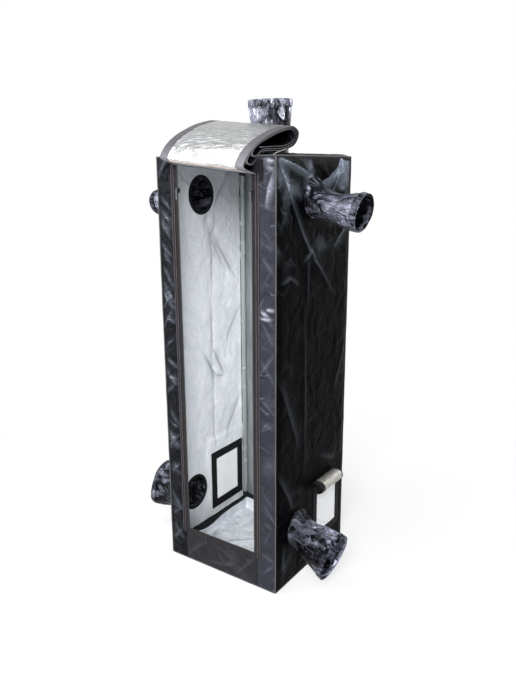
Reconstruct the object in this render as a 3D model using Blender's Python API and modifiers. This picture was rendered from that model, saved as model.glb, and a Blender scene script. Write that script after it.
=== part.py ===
"""Indoor grow tent: a square cloth cabinet on a tube frame, with its door rolled onto the roof.

Metres, +Z up. The origin is the centre of the base, on the floor. The door faces -Y.
"""
from math import ceil, cos, pi, radians, sin

import bmesh
import bpy
from mathutils import Matrix, Quaternion, Vector

# Overall size of the cover
TENT_WIDTH = 0.400
TENT_DEPTH = 0.400
TENT_HEIGHT = 1.240

# Cloth, and the clearance that touching pieces keep
CLOTH = 0.0010
GAP = 0.0003
WELD = 0.00005
CUT_OVERRUN = 0.004

# Frame of steel tubes and three-way plastic corners
TUBE_RADIUS = 0.0080
TUBE_WALL = 0.0007
TUBE_SIDES = 12
SOCKET_START = 0.012
SLEEVE_LENGTH = 0.044
SLEEVE_RADIUS = 0.0100
SOCKET_RADIUS = TUBE_RADIUS + GAP
CORNER_HALF = 0.0103
CORNER_BEVEL = 0.0020
JOINT_HEIGHT = 0.620
SPIGOT_LENGTH = 0.045
SPIGOT_SHOULDER = 0.004

# Bar that hangs between the side rails
BAR_RADIUS = 0.0060
HOOK_OUTER = 0.0100
HOOK_INNER = 0.0084
HOOK_WIDTH = 0.018
HOOK_MOUTH = 0.0130

# Front of the cover: strips, sill and header round the doorway
STRIP_WIDTH = 0.0765
SILL_HEIGHT = 0.112
HEADER_HEIGHT = 0.047

# Door zip
TAPE_WIDTH = 0.014
TEETH_WIDTH = 0.0030
TEETH_DEPTH = 0.0026
SLIDER_WIDTH = 0.0100
SLIDER_HEIGHT = 0.0130
SLIDER_WALL = 0.0022
SLIDER_DROP = 0.043
PIN_RADIUS = 0.0009
KNUCKLE_RADIUS = 0.0021
KNUCKLE_WIDTH = 0.0046
EAR_WIDTH = 0.0014
PULL_LENGTH = 0.028
PULL_WIDTH = 0.0064
PULL_THICKNESS = 0.0014

# Duct sleeves and their ports
PORT_RADIUS = 0.0505
UPPER_PORT_Y = -0.010
UPPER_PORT_DROP = 0.110
LOWER_PORT_Y = -0.080
LOWER_PORT_Z = 0.163
ROOF_PORT_Y = 0.078
SEAM_RADIUS = 0.0620
NECK_RADIUS = 0.0520
HEM_LENGTH = 0.018
HEM_THICKNESS = 0.0020
SLEEVE_SIDES = 20
SLEEVE_RINGS = 6
PUCKER_DEPTH = 0.0022
PUCKERS = 5
FLAT_ROUND_PORT = 0.036

# Mouth of each sleeve, seen from its port: how far out, down and along Y it lies, its half
# width and half height, and how far the sleeve's top sags in. The twist is a share of a turn.
RIGHT_UPPER_MOUTH = (0.150, 0.037, 0.000, 0.051, 0.051, 0.018)
RIGHT_LOWER_MOUTH = (0.135, 0.050, -0.018, 0.050, 0.081, 0.009)
LEFT_UPPER_MOUTH = (0.168, 0.026, 0.000, 0.050, 0.040, 0.023)
LEFT_LOWER_MOUTH = (0.170, 0.018, 0.020, 0.038, 0.076, 0.000)
ROOF_MOUTH = (0.157, 0.000, -0.006, 0.0635, 0.0635, 0.000)
LEFT_LOWER_TWIST_SHARE = 0.10

# Screened vents and their rolled flaps
VENT_Y = 0.095
VENT_Z = 0.162
VENT_WIDTH = 0.120
VENT_HEIGHT = 0.152
VENT_BORDER = 0.022
VENT_CORNER = 0.012
VENT_FRAME_THICKNESS = 0.0016
NET_WIRE = 0.0010
NET_EDGE = 0.0030
NET_COLUMNS = 6
NET_ROWS = 8
FLAP_RADIUS = 0.0172
FLAP_CORE_RADIUS = 0.0060
FLAP_TURNS = 2.2
FLAP_STEPS = 26
FLAP_LENGTH = 0.134
FLAP_Y = 0.073
FLAP_OVERLAP = 0.016
FLAP_CLOTH = 0.0012

# Door, rolled up and thrown back over the roof
DOOR_CLOTH = 0.0015
DOOR_LEFT_LAP = 0.0045
DOOR_RIGHT_LAP = 0.0165
DOOR_SEAM_GAP = 0.0009
ROLL_OVERHANG = 0.082
ROLL_DEPTH = 0.288
ROLL_HANG = 0.036
ROLL_RISE = 0.114
ROLL_TURNS = 2.1
ROLL_STEPS_PER_TURN = 20
ROLL_SHRINK_SHARE = 0.27
ROLL_CORE_SHARES = (0.535, 0.667)
ROLL_OUTLINE_SHARES = (
    (0.075, 0.00), (0.000, 0.12), (0.048, 0.32), (0.156, 0.59), (0.313, 0.74),
    (0.565, 0.90), (0.813, 1.00), (0.925, 0.965), (1.000, 0.86), (0.960, 0.70),
    (0.840, 0.52), (0.700, 0.36), (0.480, 0.28), (0.313, 0.26), (0.190, 0.23),
)
ROLL_LEFT_LIFT = 0.016
ROLL_ACROSS_STEPS = 6
TIE_WIDTH = 0.014
TIE_LENGTH = 0.120
TIE_THICKNESS = 0.0010
TIE_INSET = 0.0115
TIE_SPACE = 0.040

# Loose tray on the floor
TRAY_SPACE = 0.0012
TRAY_HEIGHT = 0.050
TRAY_BINDING = 0.0022
TRAY_BINDING_HEIGHT = 0.010
TRAY_CORNER = 0.006

# Folds of the hanging cloth
FOLD_WIDTH = 0.050
FOLD_MARGIN = 0.030
SIDE_BULGE = 0.0030
SIDE_STEPS = 13
SIDE_UP_STEPS = 30
BACK_STEPS = 6
BACK_UP_STEPS = 12
STRIP_STEPS = 3
STRIP_UP_STEPS = 26
STRIP_FOLD_WIDTH = 0.030
SIDE_FOLD = 0.0070
STRIP_FOLD = 0.0035
# Each fold runs from one place to another, as shares of the wall's depth and height.
SIDE_FOLD_SHARES = (
    ((-0.44, 0.97), (-0.04, 0.955), 0.9),
    ((0.44, 0.975), (0.02, 0.955), 1.0),
    ((-0.42, 0.90), (-0.30, 0.74), 0.7),
    ((0.20, 0.86), (0.42, 0.72), 0.7),
    ((-0.10, 0.82), (-0.02, 0.34), 0.8),
    ((-0.38, 0.30), (-0.30, 0.17), 0.6),
    ((0.10, 0.25), (0.40, 0.30), 0.5),
)
STRIP_FOLD_SHARES = (
    ((0.15, 0.05), (0.85, 0.11), 1.0),
    ((0.85, 0.24), (0.15, 0.31), 0.8),
    ((0.15, 0.43), (0.85, 0.50), 0.9),
    ((0.85, 0.62), (0.15, 0.70), 0.8),
    ((0.15, 0.84), (0.85, 0.93), 1.0),
)

# Places worked out from the sizes above
HALF_WIDTH = TENT_WIDTH / 2
HALF_DEPTH = TENT_DEPTH / 2
AXIS_INSET = CLOTH + GAP + CORNER_HALF
AXIS_X = HALF_WIDTH - AXIS_INSET
AXIS_Y = HALF_DEPTH - AXIS_INSET
AXIS_LOW = AXIS_INSET
AXIS_HIGH = TENT_HEIGHT - AXIS_INSET
INNER_HALF_WIDTH = HALF_WIDTH - CLOTH - GAP
INNER_HALF_DEPTH = HALF_DEPTH - CLOTH - GAP
DOORWAY_HALF = HALF_WIDTH - STRIP_WIDTH
TAPE_EDGE = DOORWAY_HALF + TAPE_WIDTH
DOORWAY_TOP = TENT_HEIGHT - HEADER_HEIGHT
FRONT_MID = -HALF_DEPTH + CLOTH / 2
UPPER_PORT_Z = TENT_HEIGHT - UPPER_PORT_DROP
SLIDER_Z = DOORWAY_TOP - SLIDER_DROP
DOOR_LEFT = -DOORWAY_HALF - DOOR_LEFT_LAP
DOOR_RIGHT = DOORWAY_HALF + DOOR_RIGHT_LAP
ROLL_FRONT = -HALF_DEPTH - ROLL_OVERHANG
ROLL_BASE = TENT_HEIGHT - ROLL_HANG
TIE_X = DOORWAY_HALF - TIE_INSET
TIE_BACK_Y = ROOF_PORT_Y - SEAM_RADIUS - TIE_SPACE
TRAY_HALF_WIDTH = AXIS_X - SLEEVE_RADIUS - TRAY_SPACE
TRAY_HALF_DEPTH = AXIS_Y - SLEEVE_RADIUS - TRAY_SPACE

# Finishes: colour, roughness and metallic value of each kind
FINISHES = {
    "black cloth": ((0.016, 0.016, 0.019), 0.48, 0.0),
    "silver lining": ((0.62, 0.64, 0.68), 0.30, 0.3),
    "black webbing": ((0.022, 0.022, 0.024), 0.80, 0.0),
    "pale webbing": ((0.55, 0.53, 0.48), 0.85, 0.0),
    "white tube": ((0.78, 0.78, 0.76), 0.35, 0.0),
    "black plastic": ((0.020, 0.020, 0.021), 0.42, 0.0),
    "net": ((0.42, 0.44, 0.46), 0.70, 0.0),
    "zip tape": ((0.060, 0.055, 0.052), 0.75, 0.0),
    "zip metal": ((0.10, 0.10, 0.11), 0.35, 0.9),
}


def start_empty():
    """Remove the scene's objects and make the two collections."""
    for piece in list(bpy.data.objects):
        bpy.data.objects.remove(piece)
    for title in ("grow_tent", "cutters"):
        bpy.context.scene.collection.children.link(bpy.data.collections.new(title))


def material_for(name, finish):
    """A Principled material of this piece's own."""
    colour, roughness, metallic = FINISHES[finish]
    material = bpy.data.materials.new(name + "_finish")
    material.use_nodes = True
    shader = material.node_tree.nodes["Principled BSDF"]
    shader.inputs["Base Color"].default_value = (*colour, 1)
    shader.inputs["Roughness"].default_value = roughness
    shader.inputs["Metallic"].default_value = metallic
    material.diffuse_color = (*colour, 1)
    return material


def add_piece(name, mesh, finish):
    """Put a mesh into the tent's collection as one named piece."""
    piece = bpy.data.objects.new(name, mesh)
    piece.data.materials.clear()
    piece.data.materials.append(material_for(name, finish))
    bpy.data.collections["grow_tent"].objects.link(piece)
    return piece


def add_cutter(name, mesh):
    """Put a mesh among the cutters, which the build leaves out."""
    cutter = bpy.data.objects.new(name, mesh)
    cutter.hide_render = True
    cutter.display_type = "WIRE"
    bpy.data.collections["cutters"].objects.link(cutter)
    return cutter


def mesh_of(shape, name):
    """Turn a finished bmesh into a mesh."""
    mesh = bpy.data.meshes.new(name)
    shape.to_mesh(mesh)
    shape.free()
    return mesh


def box_shape(low, high):
    """A box between two corners."""
    low = Vector(low)
    high = Vector(high)
    shape = bmesh.new()
    stretch = Matrix.Diagonal((*(high - low), 1))
    bmesh.ops.create_cube(shape, size=1, matrix=Matrix.Translation((low + high) / 2) @ stretch)
    return shape


def rod_shape(start, end, radius, sides=TUBE_SIDES):
    """A solid round rod from one point to another."""
    start = Vector(start)
    end = Vector(end)
    along = end - start
    turn = along.to_track_quat("Z", "Y").to_matrix().to_4x4()
    shape = bmesh.new()
    bmesh.ops.create_cone(
        shape, cap_ends=True, segments=sides, radius1=radius, radius2=radius,
        depth=along.length, matrix=Matrix.Translation((start + end) / 2) @ turn)
    return shape


def round_edges(shape, along, radius, segments=3):
    """Round the edges of a box that run along one axis."""
    edges = [edge for edge in shape.edges
             if abs((edge.verts[1].co - edge.verts[0].co).normalized()[along]) > cos(radians(10))]
    bmesh.ops.bevel(shape, geom=edges, offset=radius, segments=segments, profile=0.5,
                    affect="EDGES", material=-1)
    return shape


def shade_round(mesh, sharp=40):
    """Smooth shading, with edges past this many degrees kept sharp."""
    mesh.shade_smooth()
    mesh.set_sharp_from_angle(angle=radians(sharp))


def combine(piece, other, operation):
    """Cut a piece by another shape, or join that shape to it."""
    boolean = piece.modifiers.new(other.name, "BOOLEAN")
    boolean.operation = operation
    boolean.object = other
    boolean.solver = "EXACT"


def cut(piece, name, shape):
    """Cut a shape out of a piece."""
    combine(piece, add_cutter(name, mesh_of(shape, name)), "DIFFERENCE")


def join(piece, name, shape):
    """Join a shape to a piece."""
    combine(piece, add_cutter(name, mesh_of(shape, name)), "UNION")


def finished_mesh(piece):
    """The piece's mesh with its modifiers applied."""
    bpy.context.view_layer.update()
    graph = bpy.context.evaluated_depsgraph_get()
    return bpy.data.meshes.new_from_object(piece.evaluated_get(graph))


def sheet(name, finish, steps, place, thickness, offset=-1, closed=False):
    """Cloth: a grid whose places come from a rule, with its thickness from Solidify.

    place takes shares across and up, from 0 to 1, and gives the point of the outer side.
    """
    shape = bmesh.new()
    bmesh.ops.create_grid(shape, x_segments=steps[0], y_segments=steps[1], size=1)
    for vert in shape.verts:
        vert.co = place((vert.co.x + 1) / 2, (vert.co.y + 1) / 2)
    if closed:
        bmesh.ops.remove_doubles(shape, verts=shape.verts[:], dist=WELD)
    mesh = mesh_of(shape, name)
    shade_round(mesh)
    piece = add_piece(name, mesh, finish)
    solidify = piece.modifiers.new("thickness", "SOLIDIFY")
    solidify.thickness = thickness
    solidify.offset = offset
    return piece


def turned(name, finish, profile, sides=TUBE_SIDES):
    """A turned piece: a closed profile of (radius, height), outer side from top to bottom."""
    mesh = bpy.data.meshes.new(name)
    verts = [(radius, 0, height) for radius, height in profile]
    edges = [(k, (k + 1) % len(profile)) for k in range(len(profile))]
    mesh.from_pydata(verts, edges, [])
    piece = add_piece(name, mesh, finish)
    screw = piece.modifiers.new("turn", "SCREW")
    screw.steps = sides
    screw.render_steps = sides
    screw.use_merge_vertices = True
    screw.merge_threshold = WELD
    screw.use_smooth_shade = True
    return piece


def smoothed(share):
    """A soft step from 0 to 1."""
    share = min(max(share, 0), 1)
    return share * share * (3 - 2 * share)


def fold_height(point, folds, width):
    """How far the folds lift the cloth at a point; each fold is (start, end, height)."""
    height = 0
    for start, end, rise in folds:
        along = end - start
        share = min(max((point - start).dot(along) / along.length_squared, 0), 1)
        distance = (point - start - along * share).length
        height += rise * smoothed(1 - distance / width)
    return height


# Frame

def corner_mesh():
    """The lower front left corner: a block with a socket along +X, +Y and +Z."""
    block = round_edges(box_shape([-CORNER_HALF] * 3, [CORNER_HALF] * 3), 2, CORNER_BEVEL, 1)
    pattern = add_piece("corner_pattern", mesh_of(block, "corner_pattern"), "black plastic")
    ways = (Vector((1, 0, 0)), Vector((0, 1, 0)), Vector((0, 0, 1)))
    for number, way in enumerate(ways):
        sleeve = rod_shape((0, 0, 0), way * SLEEVE_LENGTH, SLEEVE_RADIUS)
        join(pattern, f"corner_sleeve_{number}", sleeve)
    for number, way in enumerate(ways):
        bottom = way * (SOCKET_START - GAP)
        mouth = way * (SLEEVE_LENGTH + CUT_OVERRUN)
        cut(pattern, f"corner_socket_{number}", rod_shape(bottom, mouth, SOCKET_RADIUS))
    mesh = finished_mesh(pattern)
    for sleeve in list(bpy.data.collections["cutters"].objects):
        bpy.data.objects.remove(sleeve)
    bpy.data.objects.remove(pattern)
    return mesh


def mirrored(mesh, signs, place, name):
    """A copy of a corner, mirrored by signs and moved to its place."""
    shape = bmesh.new()
    shape.from_mesh(mesh)
    bmesh.ops.transform(shape, matrix=Matrix.Diagonal((*signs, 1)), verts=shape.verts)
    if signs[0] * signs[1] * signs[2] < 0:
        bmesh.ops.reverse_faces(shape, faces=shape.faces)
    bmesh.ops.translate(shape, vec=place, verts=shape.verts)
    copy = mesh_of(shape, name)
    shade_round(copy)
    return copy


def tube_profile(length):
    """A plain tube from height 0 up to its length."""
    inner = TUBE_RADIUS - TUBE_WALL
    return [(TUBE_RADIUS, length), (TUBE_RADIUS, 0), (inner, 0), (inner, length)]


def spigot_tube_profile(length):
    """A tube whose lower end is drawn down, so that it plugs into the tube below."""
    inner = TUBE_RADIUS - TUBE_WALL
    spigot = inner - GAP
    return [
        (TUBE_RADIUS, length), (TUBE_RADIUS, 0), (spigot, 0), (spigot, -SPIGOT_LENGTH),
        (spigot - TUBE_WALL, -SPIGOT_LENGTH), (spigot - TUBE_WALL, SPIGOT_SHOULDER / 2),
        (inner, SPIGOT_SHOULDER), (inner, length),
    ]


def make_frame():
    """Eight corners, four uprights in two lengths each, and eight rails."""
    corner = corner_mesh()
    sides_x = (("left", -1), ("right", 1))
    sides_y = (("front", -1), ("back", 1))
    for side_x, sign_x in sides_x:
        for side_y, sign_y in sides_y:
            x = sign_x * AXIS_X
            y = sign_y * AXIS_Y
            for level, sign_z, z in (("bottom", 1, AXIS_LOW), ("top", -1, AXIS_HIGH)):
                name = f"corner_{level}_{side_y}_{side_x}"
                signs = (-sign_x, -sign_y, sign_z)
                add_piece(name, mirrored(corner, signs, (x, y, z), name), "black plastic")
            low = AXIS_LOW + SOCKET_START
            high = AXIS_HIGH - SOCKET_START
            lower = turned(f"upright_lower_{side_y}_{side_x}", "white tube",
                           tube_profile(JOINT_HEIGHT - GAP - low))
            lower.location = (x, y, low)
            upper = turned(f"upright_upper_{side_y}_{side_x}", "white tube",
                           spigot_tube_profile(high - JOINT_HEIGHT))
            upper.location = (x, y, JOINT_HEIGHT)
    for level, z in (("bottom", AXIS_LOW), ("top", AXIS_HIGH)):
        for side_y, sign_y in sides_y:
            length = 2 * (AXIS_X - SOCKET_START)
            rail = turned(f"rail_{level}_{side_y}", "white tube", tube_profile(length))
            rail.location = (-length / 2, sign_y * AXIS_Y, z)
            rail.rotation_euler = (0, pi / 2, 0)
        for side_x, sign_x in sides_x:
            length = 2 * (AXIS_Y - SOCKET_START)
            rail = turned(f"rail_{level}_{side_x}", "white tube", tube_profile(length))
            rail.location = (sign_x * AXIS_X, length / 2, z)
            rail.rotation_euler = (pi / 2, 0, 0)
    bpy.data.meshes.remove(corner)


def make_hanging_bar():
    """A bar between the side rails, with a hook over each of them."""
    reach = AXIS_X - (HOOK_INNER + HOOK_OUTER) / 2
    bar_z = AXIS_HIGH
    rod = rod_shape((-reach, 0, bar_z), (reach, 0, bar_z), BAR_RADIUS)
    bar = add_piece("hanging_bar", mesh_of(rod, "hanging_bar"), "white tube")
    half = HOOK_WIDTH / 2
    over = half + CUT_OVERRUN
    for side, sign in (("left", -1), ("right", 1)):
        x = sign * AXIS_X
        hook = rod_shape((x, -half, bar_z), (x, half, bar_z), HOOK_OUTER, sides=16)
        join(bar, f"hook_{side}", hook)
    for side, sign in (("left", -1), ("right", 1)):
        x = sign * AXIS_X
        eye = rod_shape((x, -over, bar_z), (x, over, bar_z), HOOK_INNER, sides=16)
        cut(bar, f"hook_eye_{side}", eye)
        mouth_low = (x - HOOK_MOUTH / 2, -over, bar_z - HOOK_OUTER - CUT_OVERRUN)
        mouth_high = (x + HOOK_MOUTH / 2, over, bar_z)
        cut(bar, f"hook_mouth_{side}", box_shape(mouth_low, mouth_high))


# Cover

def panel_place(corner, across, up, outward, height):
    """The rule of a flat panel whose outer side is lifted by a height."""
    def place(across_share, up_share):
        point = corner + across * across_share + up * up_share
        return point + outward * height(across_share, up_share)
    return place


def side_height(across_share, up_share, sign):
    """Bulge and folds of a side wall; flat at its edges, ports and vent."""
    y = (across_share - 0.5) * TENT_DEPTH * sign
    z = up_share * TENT_HEIGHT
    edge = min(HALF_DEPTH - abs(y), z, TENT_HEIGHT - z)
    mask = smoothed(edge / FOLD_MARGIN)
    for port_y, port_z in ((UPPER_PORT_Y, UPPER_PORT_Z), (LOWER_PORT_Y, LOWER_PORT_Z)):
        reach = (Vector((y, z)) - Vector((port_y, port_z))).length
        mask *= smoothed((reach - SEAM_RADIUS - FLAT_ROUND_PORT) / FOLD_MARGIN)
    aside = max(abs(y - VENT_Y) - VENT_WIDTH / 2, abs(z - VENT_Z) - VENT_HEIGHT / 2)
    mask *= smoothed((aside - VENT_BORDER - FLAT_ROUND_PORT) / FOLD_MARGIN)
    folds = [(Vector((start[0] * TENT_DEPTH, start[1] * TENT_HEIGHT)),
              Vector((end[0] * TENT_DEPTH, end[1] * TENT_HEIGHT)), share * SIDE_FOLD)
             for start, end, share in SIDE_FOLD_SHARES]
    bulge = SIDE_BULGE * sin(pi * up_share)
    return mask * (bulge + fold_height(Vector((y, z)), folds, FOLD_WIDTH))


def vent_shape(sign, grow, thickness):
    """A plate over a vent, wider than the net by grow on each side."""
    half_y = VENT_WIDTH / 2 + grow
    half_z = VENT_HEIGHT / 2 + grow
    middle = sign * (HALF_WIDTH - CLOTH / 2)
    low = (middle - thickness / 2, VENT_Y - half_y, VENT_Z - half_z)
    high = (middle + thickness / 2, VENT_Y + half_y, VENT_Z + half_z)
    return box_shape(low, high)


def make_side_walls():
    """Left and right walls, each with two ports and a vent cut out."""
    for side, sign in (("left", -1), ("right", 1)):
        corner = Vector((sign * HALF_WIDTH, -sign * HALF_DEPTH, 0))
        place = panel_place(
            corner, Vector((0, sign * TENT_DEPTH, 0)), Vector((0, 0, TENT_HEIGHT)),
            Vector((sign, 0, 0)), lambda a, b, s=sign: side_height(a, b, s))
        wall = sheet(f"wall_{side}", "black cloth", (SIDE_STEPS, SIDE_UP_STEPS), place, CLOTH)
        ports = (("upper", UPPER_PORT_Y, UPPER_PORT_Z), ("lower", LOWER_PORT_Y, LOWER_PORT_Z))
        for level, y, z in ports:
            near = (sign * (HALF_WIDTH - CLOTH - CUT_OVERRUN), y, z)
            far = (sign * (HALF_WIDTH + CUT_OVERRUN), y, z)
            cut(wall, f"port_{level}_{side}", rod_shape(near, far, PORT_RADIUS, SLEEVE_SIDES))
        hole = vent_shape(sign, VENT_BORDER + GAP, CLOTH + CUT_OVERRUN)
        cut(wall, f"vent_hole_{side}", round_edges(hole, 0, VENT_CORNER))


def make_back_wall():
    """Plain back wall, slightly bulged."""
    corner = Vector((INNER_HALF_WIDTH, HALF_DEPTH, 0))
    place = panel_place(
        corner, Vector((-2 * INNER_HALF_WIDTH, 0, 0)), Vector((0, 0, TENT_HEIGHT)),
        Vector((0, 1, 0)), lambda a, b: SIDE_BULGE * sin(pi * a) * sin(pi * b))
    sheet("wall_back", "black cloth", (BACK_STEPS, BACK_UP_STEPS), place, CLOTH)


def make_roof_and_base():
    """Roof with its port, and the base sheet that the tent stands on."""
    low = (-INNER_HALF_WIDTH, -INNER_HALF_DEPTH, TENT_HEIGHT - CLOTH)
    high = (INNER_HALF_WIDTH, INNER_HALF_DEPTH, TENT_HEIGHT)
    roof = add_piece("roof_panel", mesh_of(box_shape(low, high), "roof_panel"), "black cloth")
    below = (0, ROOF_PORT_Y, TENT_HEIGHT - CLOTH - CUT_OVERRUN)
    above = (0, ROOF_PORT_Y, TENT_HEIGHT + CUT_OVERRUN)
    cut(roof, "port_roof", rod_shape(below, above, PORT_RADIUS, SLEEVE_SIDES))
    base = box_shape((-INNER_HALF_WIDTH, -INNER_HALF_DEPTH, 0),
                     (INNER_HALF_WIDTH, INNER_HALF_DEPTH, CLOTH))
    add_piece("base_panel", mesh_of(base, "base_panel"), "black cloth")


def strip_height(across_share, up_share, width):
    """Slanting folds of a front strip, flat at its edges."""
    point = Vector((across_share * width, up_share * TENT_HEIGHT))
    folds = [(Vector((start[0] * width, start[1] * TENT_HEIGHT)),
              Vector((end[0] * width, end[1] * TENT_HEIGHT)), share * STRIP_FOLD)
             for start, end, share in STRIP_FOLD_SHARES]
    mask = sin(pi * across_share) * smoothed(min(up_share, 1 - up_share) * TENT_HEIGHT / FOLD_MARGIN)
    return mask * fold_height(point, folds, STRIP_FOLD_WIDTH)


def make_front():
    """Two strips, the sill and the header round the doorway."""
    width = INNER_HALF_WIDTH - TAPE_EDGE - GAP
    for side, left_edge in (("left", -INNER_HALF_WIDTH), ("right", TAPE_EDGE + GAP)):
        place = panel_place(
            Vector((left_edge, -HALF_DEPTH, 0)), Vector((width, 0, 0)),
            Vector((0, 0, TENT_HEIGHT)), Vector((0, -1, 0)),
            lambda a, b: strip_height(a, b, width))
        sheet(f"front_strip_{side}", "black cloth", (STRIP_STEPS, STRIP_UP_STEPS), place, CLOTH)
    edge = TAPE_EDGE
    sill_top = SILL_HEIGHT - TAPE_WIDTH - GAP
    sill = box_shape((-edge, -HALF_DEPTH, 0), (edge, -HALF_DEPTH + CLOTH, sill_top))
    add_piece("front_sill", mesh_of(sill, "front_sill"), "black cloth")
    header = box_shape((-edge, -HALF_DEPTH, DOORWAY_TOP),
                       (edge, -HALF_DEPTH + CLOTH, TENT_HEIGHT))
    add_piece("front_header", mesh_of(header, "front_header"), "black cloth")


def make_vents():
    """Each vent's sewn border and its net."""
    for side, sign in (("left", -1), ("right", 1)):
        border = round_edges(vent_shape(sign, VENT_BORDER, VENT_FRAME_THICKNESS), 0, VENT_CORNER)
        name = f"vent_border_{side}"
        piece = add_piece(name, mesh_of(border, name), "black webbing")
        cut(piece, f"vent_clear_{side}", vent_shape(sign, 0, VENT_FRAME_THICKNESS + CUT_OVERRUN))
        make_net(f"vent_net_{side}", sign)


def make_net(name, sign):
    """A flat net: every second cell of an uneven grid is taken out."""
    columns = 2 * NET_COLUMNS + 1
    rows = 2 * NET_ROWS + 1
    wide = VENT_WIDTH - 2 * GAP
    high = VENT_HEIGHT - 2 * GAP
    edge_wire = NET_EDGE
    shape = bmesh.new()
    bmesh.ops.create_grid(shape, x_segments=columns, y_segments=rows, size=1)
    across = net_lines(NET_COLUMNS, wide, edge_wire)
    up = net_lines(NET_ROWS, high, edge_wire)
    holes = []
    for face in shape.faces:
        middle = face.calc_center_median()
        column = int((middle.x + 1) / 2 * columns)
        row = int((middle.y + 1) / 2 * rows)
        if column % 2 and row % 2:
            holes.append(face)
    bmesh.ops.delete(shape, geom=holes, context="FACES")
    for vert in shape.verts:
        column = round((vert.co.x + 1) / 2 * columns)
        row = round((vert.co.y + 1) / 2 * rows)
        y = VENT_Y - wide / 2 + across[column]
        z = VENT_Z - high / 2 + up[row]
        vert.co = (sign * (HALF_WIDTH - CLOTH / 2), y, z)
    bmesh.ops.recalc_face_normals(shape, faces=shape.faces[:])
    net = add_piece(name, mesh_of(shape, name), "net")
    solidify = net.modifiers.new("thickness", "SOLIDIFY")
    solidify.thickness = NET_WIRE
    solidify.offset = 0


def net_lines(openings, length, edge_wire):
    """Where a net's wires start and stop along one side."""
    pitch = (length - 2 * edge_wire + NET_WIRE) / openings
    lines = [0]
    for number in range(openings):
        lines.append(edge_wire + number * pitch)
        lines.append(edge_wire + (number + 1) * pitch - NET_WIRE)
    lines.append(length)
    return lines


# Duct sleeves

def make_sleeve(name, port, outward, mouth, twist_share=0):
    """A duct sleeve sewn round its port, and the hem at its mouth.

    The sleeve's rings lie flat on the wall at the port and turn towards the mouth.
    """
    reach, drop, aside, wide, tall, sag = mouth
    port = Vector(port)
    outward = Vector(outward)
    side = Vector((0, 1, 0)) if outward.x else Vector((1, 0, 0))
    mouth_middle = port + outward * reach + Vector((0, aside, -drop))
    start = port + outward * (GAP + CLOTH)
    way = (mouth_middle - port).normalized()
    hem_start = mouth_middle - way * HEM_LENGTH
    end = hem_start - way * GAP

    def ring(middle, along, half_side, half_up, turned_share, angle):
        right = (side - along * side.dot(along)).normalized()
        right.rotate(Quaternion(along, 2 * pi * twist_share * turned_share))
        up = right.cross(along)
        return middle + right * half_side * cos(angle) - up * half_up * sin(angle)

    def sleeve_place(around_share, along_share):
        step = round(along_share * SLEEVE_RINGS)
        share = max(step - 1, 0) / (SLEEVE_RINGS - 1)
        along = outward.lerp(way, share).normalized()
        grown = smoothed(share)
        angle = 2 * pi * around_share
        pucker = PUCKER_DEPTH * sin(pi * share) * cos(PUCKERS * angle)
        dip = sag * sin(pi * share) * (1 - share)
        half_side = NECK_RADIUS + (wide - NECK_RADIUS) * grown + pucker
        half_up = NECK_RADIUS + (tall - NECK_RADIUS) * grown + pucker - dip
        if step == 0:
            half_side = SEAM_RADIUS
            half_up = SEAM_RADIUS
        middle = start.lerp(end, share) - Vector((0, 0, dip))
        return ring(middle, along, half_side, half_up, grown, angle)

    def hem_place(around_share, along_share):
        middle = hem_start + way * HEM_LENGTH * along_share
        grow = (HEM_THICKNESS - CLOTH) / 2
        return ring(middle, way, wide + grow, tall + grow, 1, 2 * pi * around_share)

    sheet(f"{name}_sleeve", "black cloth", (SLEEVE_SIDES, SLEEVE_RINGS), sleeve_place, CLOTH,
          closed=True)
    sheet(f"{name}_hem", "black cloth", (SLEEVE_SIDES, 1), hem_place, HEM_THICKNESS, closed=True)
    print(name, "hem slides along", [round(part, 4) for part in way])


def make_sleeves():
    """Two sleeves on each side wall and one on the roof."""
    right = (1, 0, 0)
    left = (-1, 0, 0)
    upper_right = (HALF_WIDTH, UPPER_PORT_Y, UPPER_PORT_Z)
    lower_right = (HALF_WIDTH, LOWER_PORT_Y, LOWER_PORT_Z)
    upper_left = (-HALF_WIDTH, UPPER_PORT_Y, UPPER_PORT_Z)
    lower_left = (-HALF_WIDTH, LOWER_PORT_Y, LOWER_PORT_Z)
    roof = (0, ROOF_PORT_Y, TENT_HEIGHT)
    make_sleeve("duct_right_upper", upper_right, right, RIGHT_UPPER_MOUTH)
    make_sleeve("duct_right_lower", lower_right, right, RIGHT_LOWER_MOUTH)
    make_sleeve("duct_left_upper", upper_left, left, LEFT_UPPER_MOUTH)
    make_sleeve("duct_left_lower", lower_left, left, LEFT_LOWER_MOUTH, LEFT_LOWER_TWIST_SHARE)
    make_sleeve("duct_roof", roof, (0, 0, 1), ROOF_MOUTH)


# Door and flaps

def outline_at(shares, place):
    """A point on the smooth closed curve through a list of shares; place counts turns."""
    count = len(shares)
    spot = (place % 1) * count
    first = int(spot)
    part = spot - first
    before, start, end, after = (Vector(shares[(first + k - 1) % count]) for k in range(4))
    return 0.5 * (2 * start + (end - before) * part
                  + (2 * before - 5 * start + 4 * end - after) * part ** 2
                  + (3 * start - before - 3 * end + after) * part ** 3)


def door_section():
    """The rolled door seen from its end: (y, z) points from its seam to its core."""
    seam = Vector((-HALF_DEPTH - DOOR_SEAM_GAP, DOORWAY_TOP + DOOR_CLOTH))
    points = [seam]
    core = Vector(ROLL_CORE_SHARES)
    for step in range(ceil(ROLL_TURNS * ROLL_STEPS_PER_TURN) + 1):
        turns = step / ROLL_STEPS_PER_TURN
        share = core + (outline_at(ROLL_OUTLINE_SHARES, turns) - core) * (1 - ROLL_SHRINK_SHARE * turns)
        points.append(Vector((ROLL_FRONT + share.x * ROLL_DEPTH, ROLL_BASE + share.y * ROLL_RISE)))
    return points


def section_length(points):
    """Length along a row of points."""
    return sum((points[k + 1] - points[k]).length for k in range(len(points) - 1))


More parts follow.
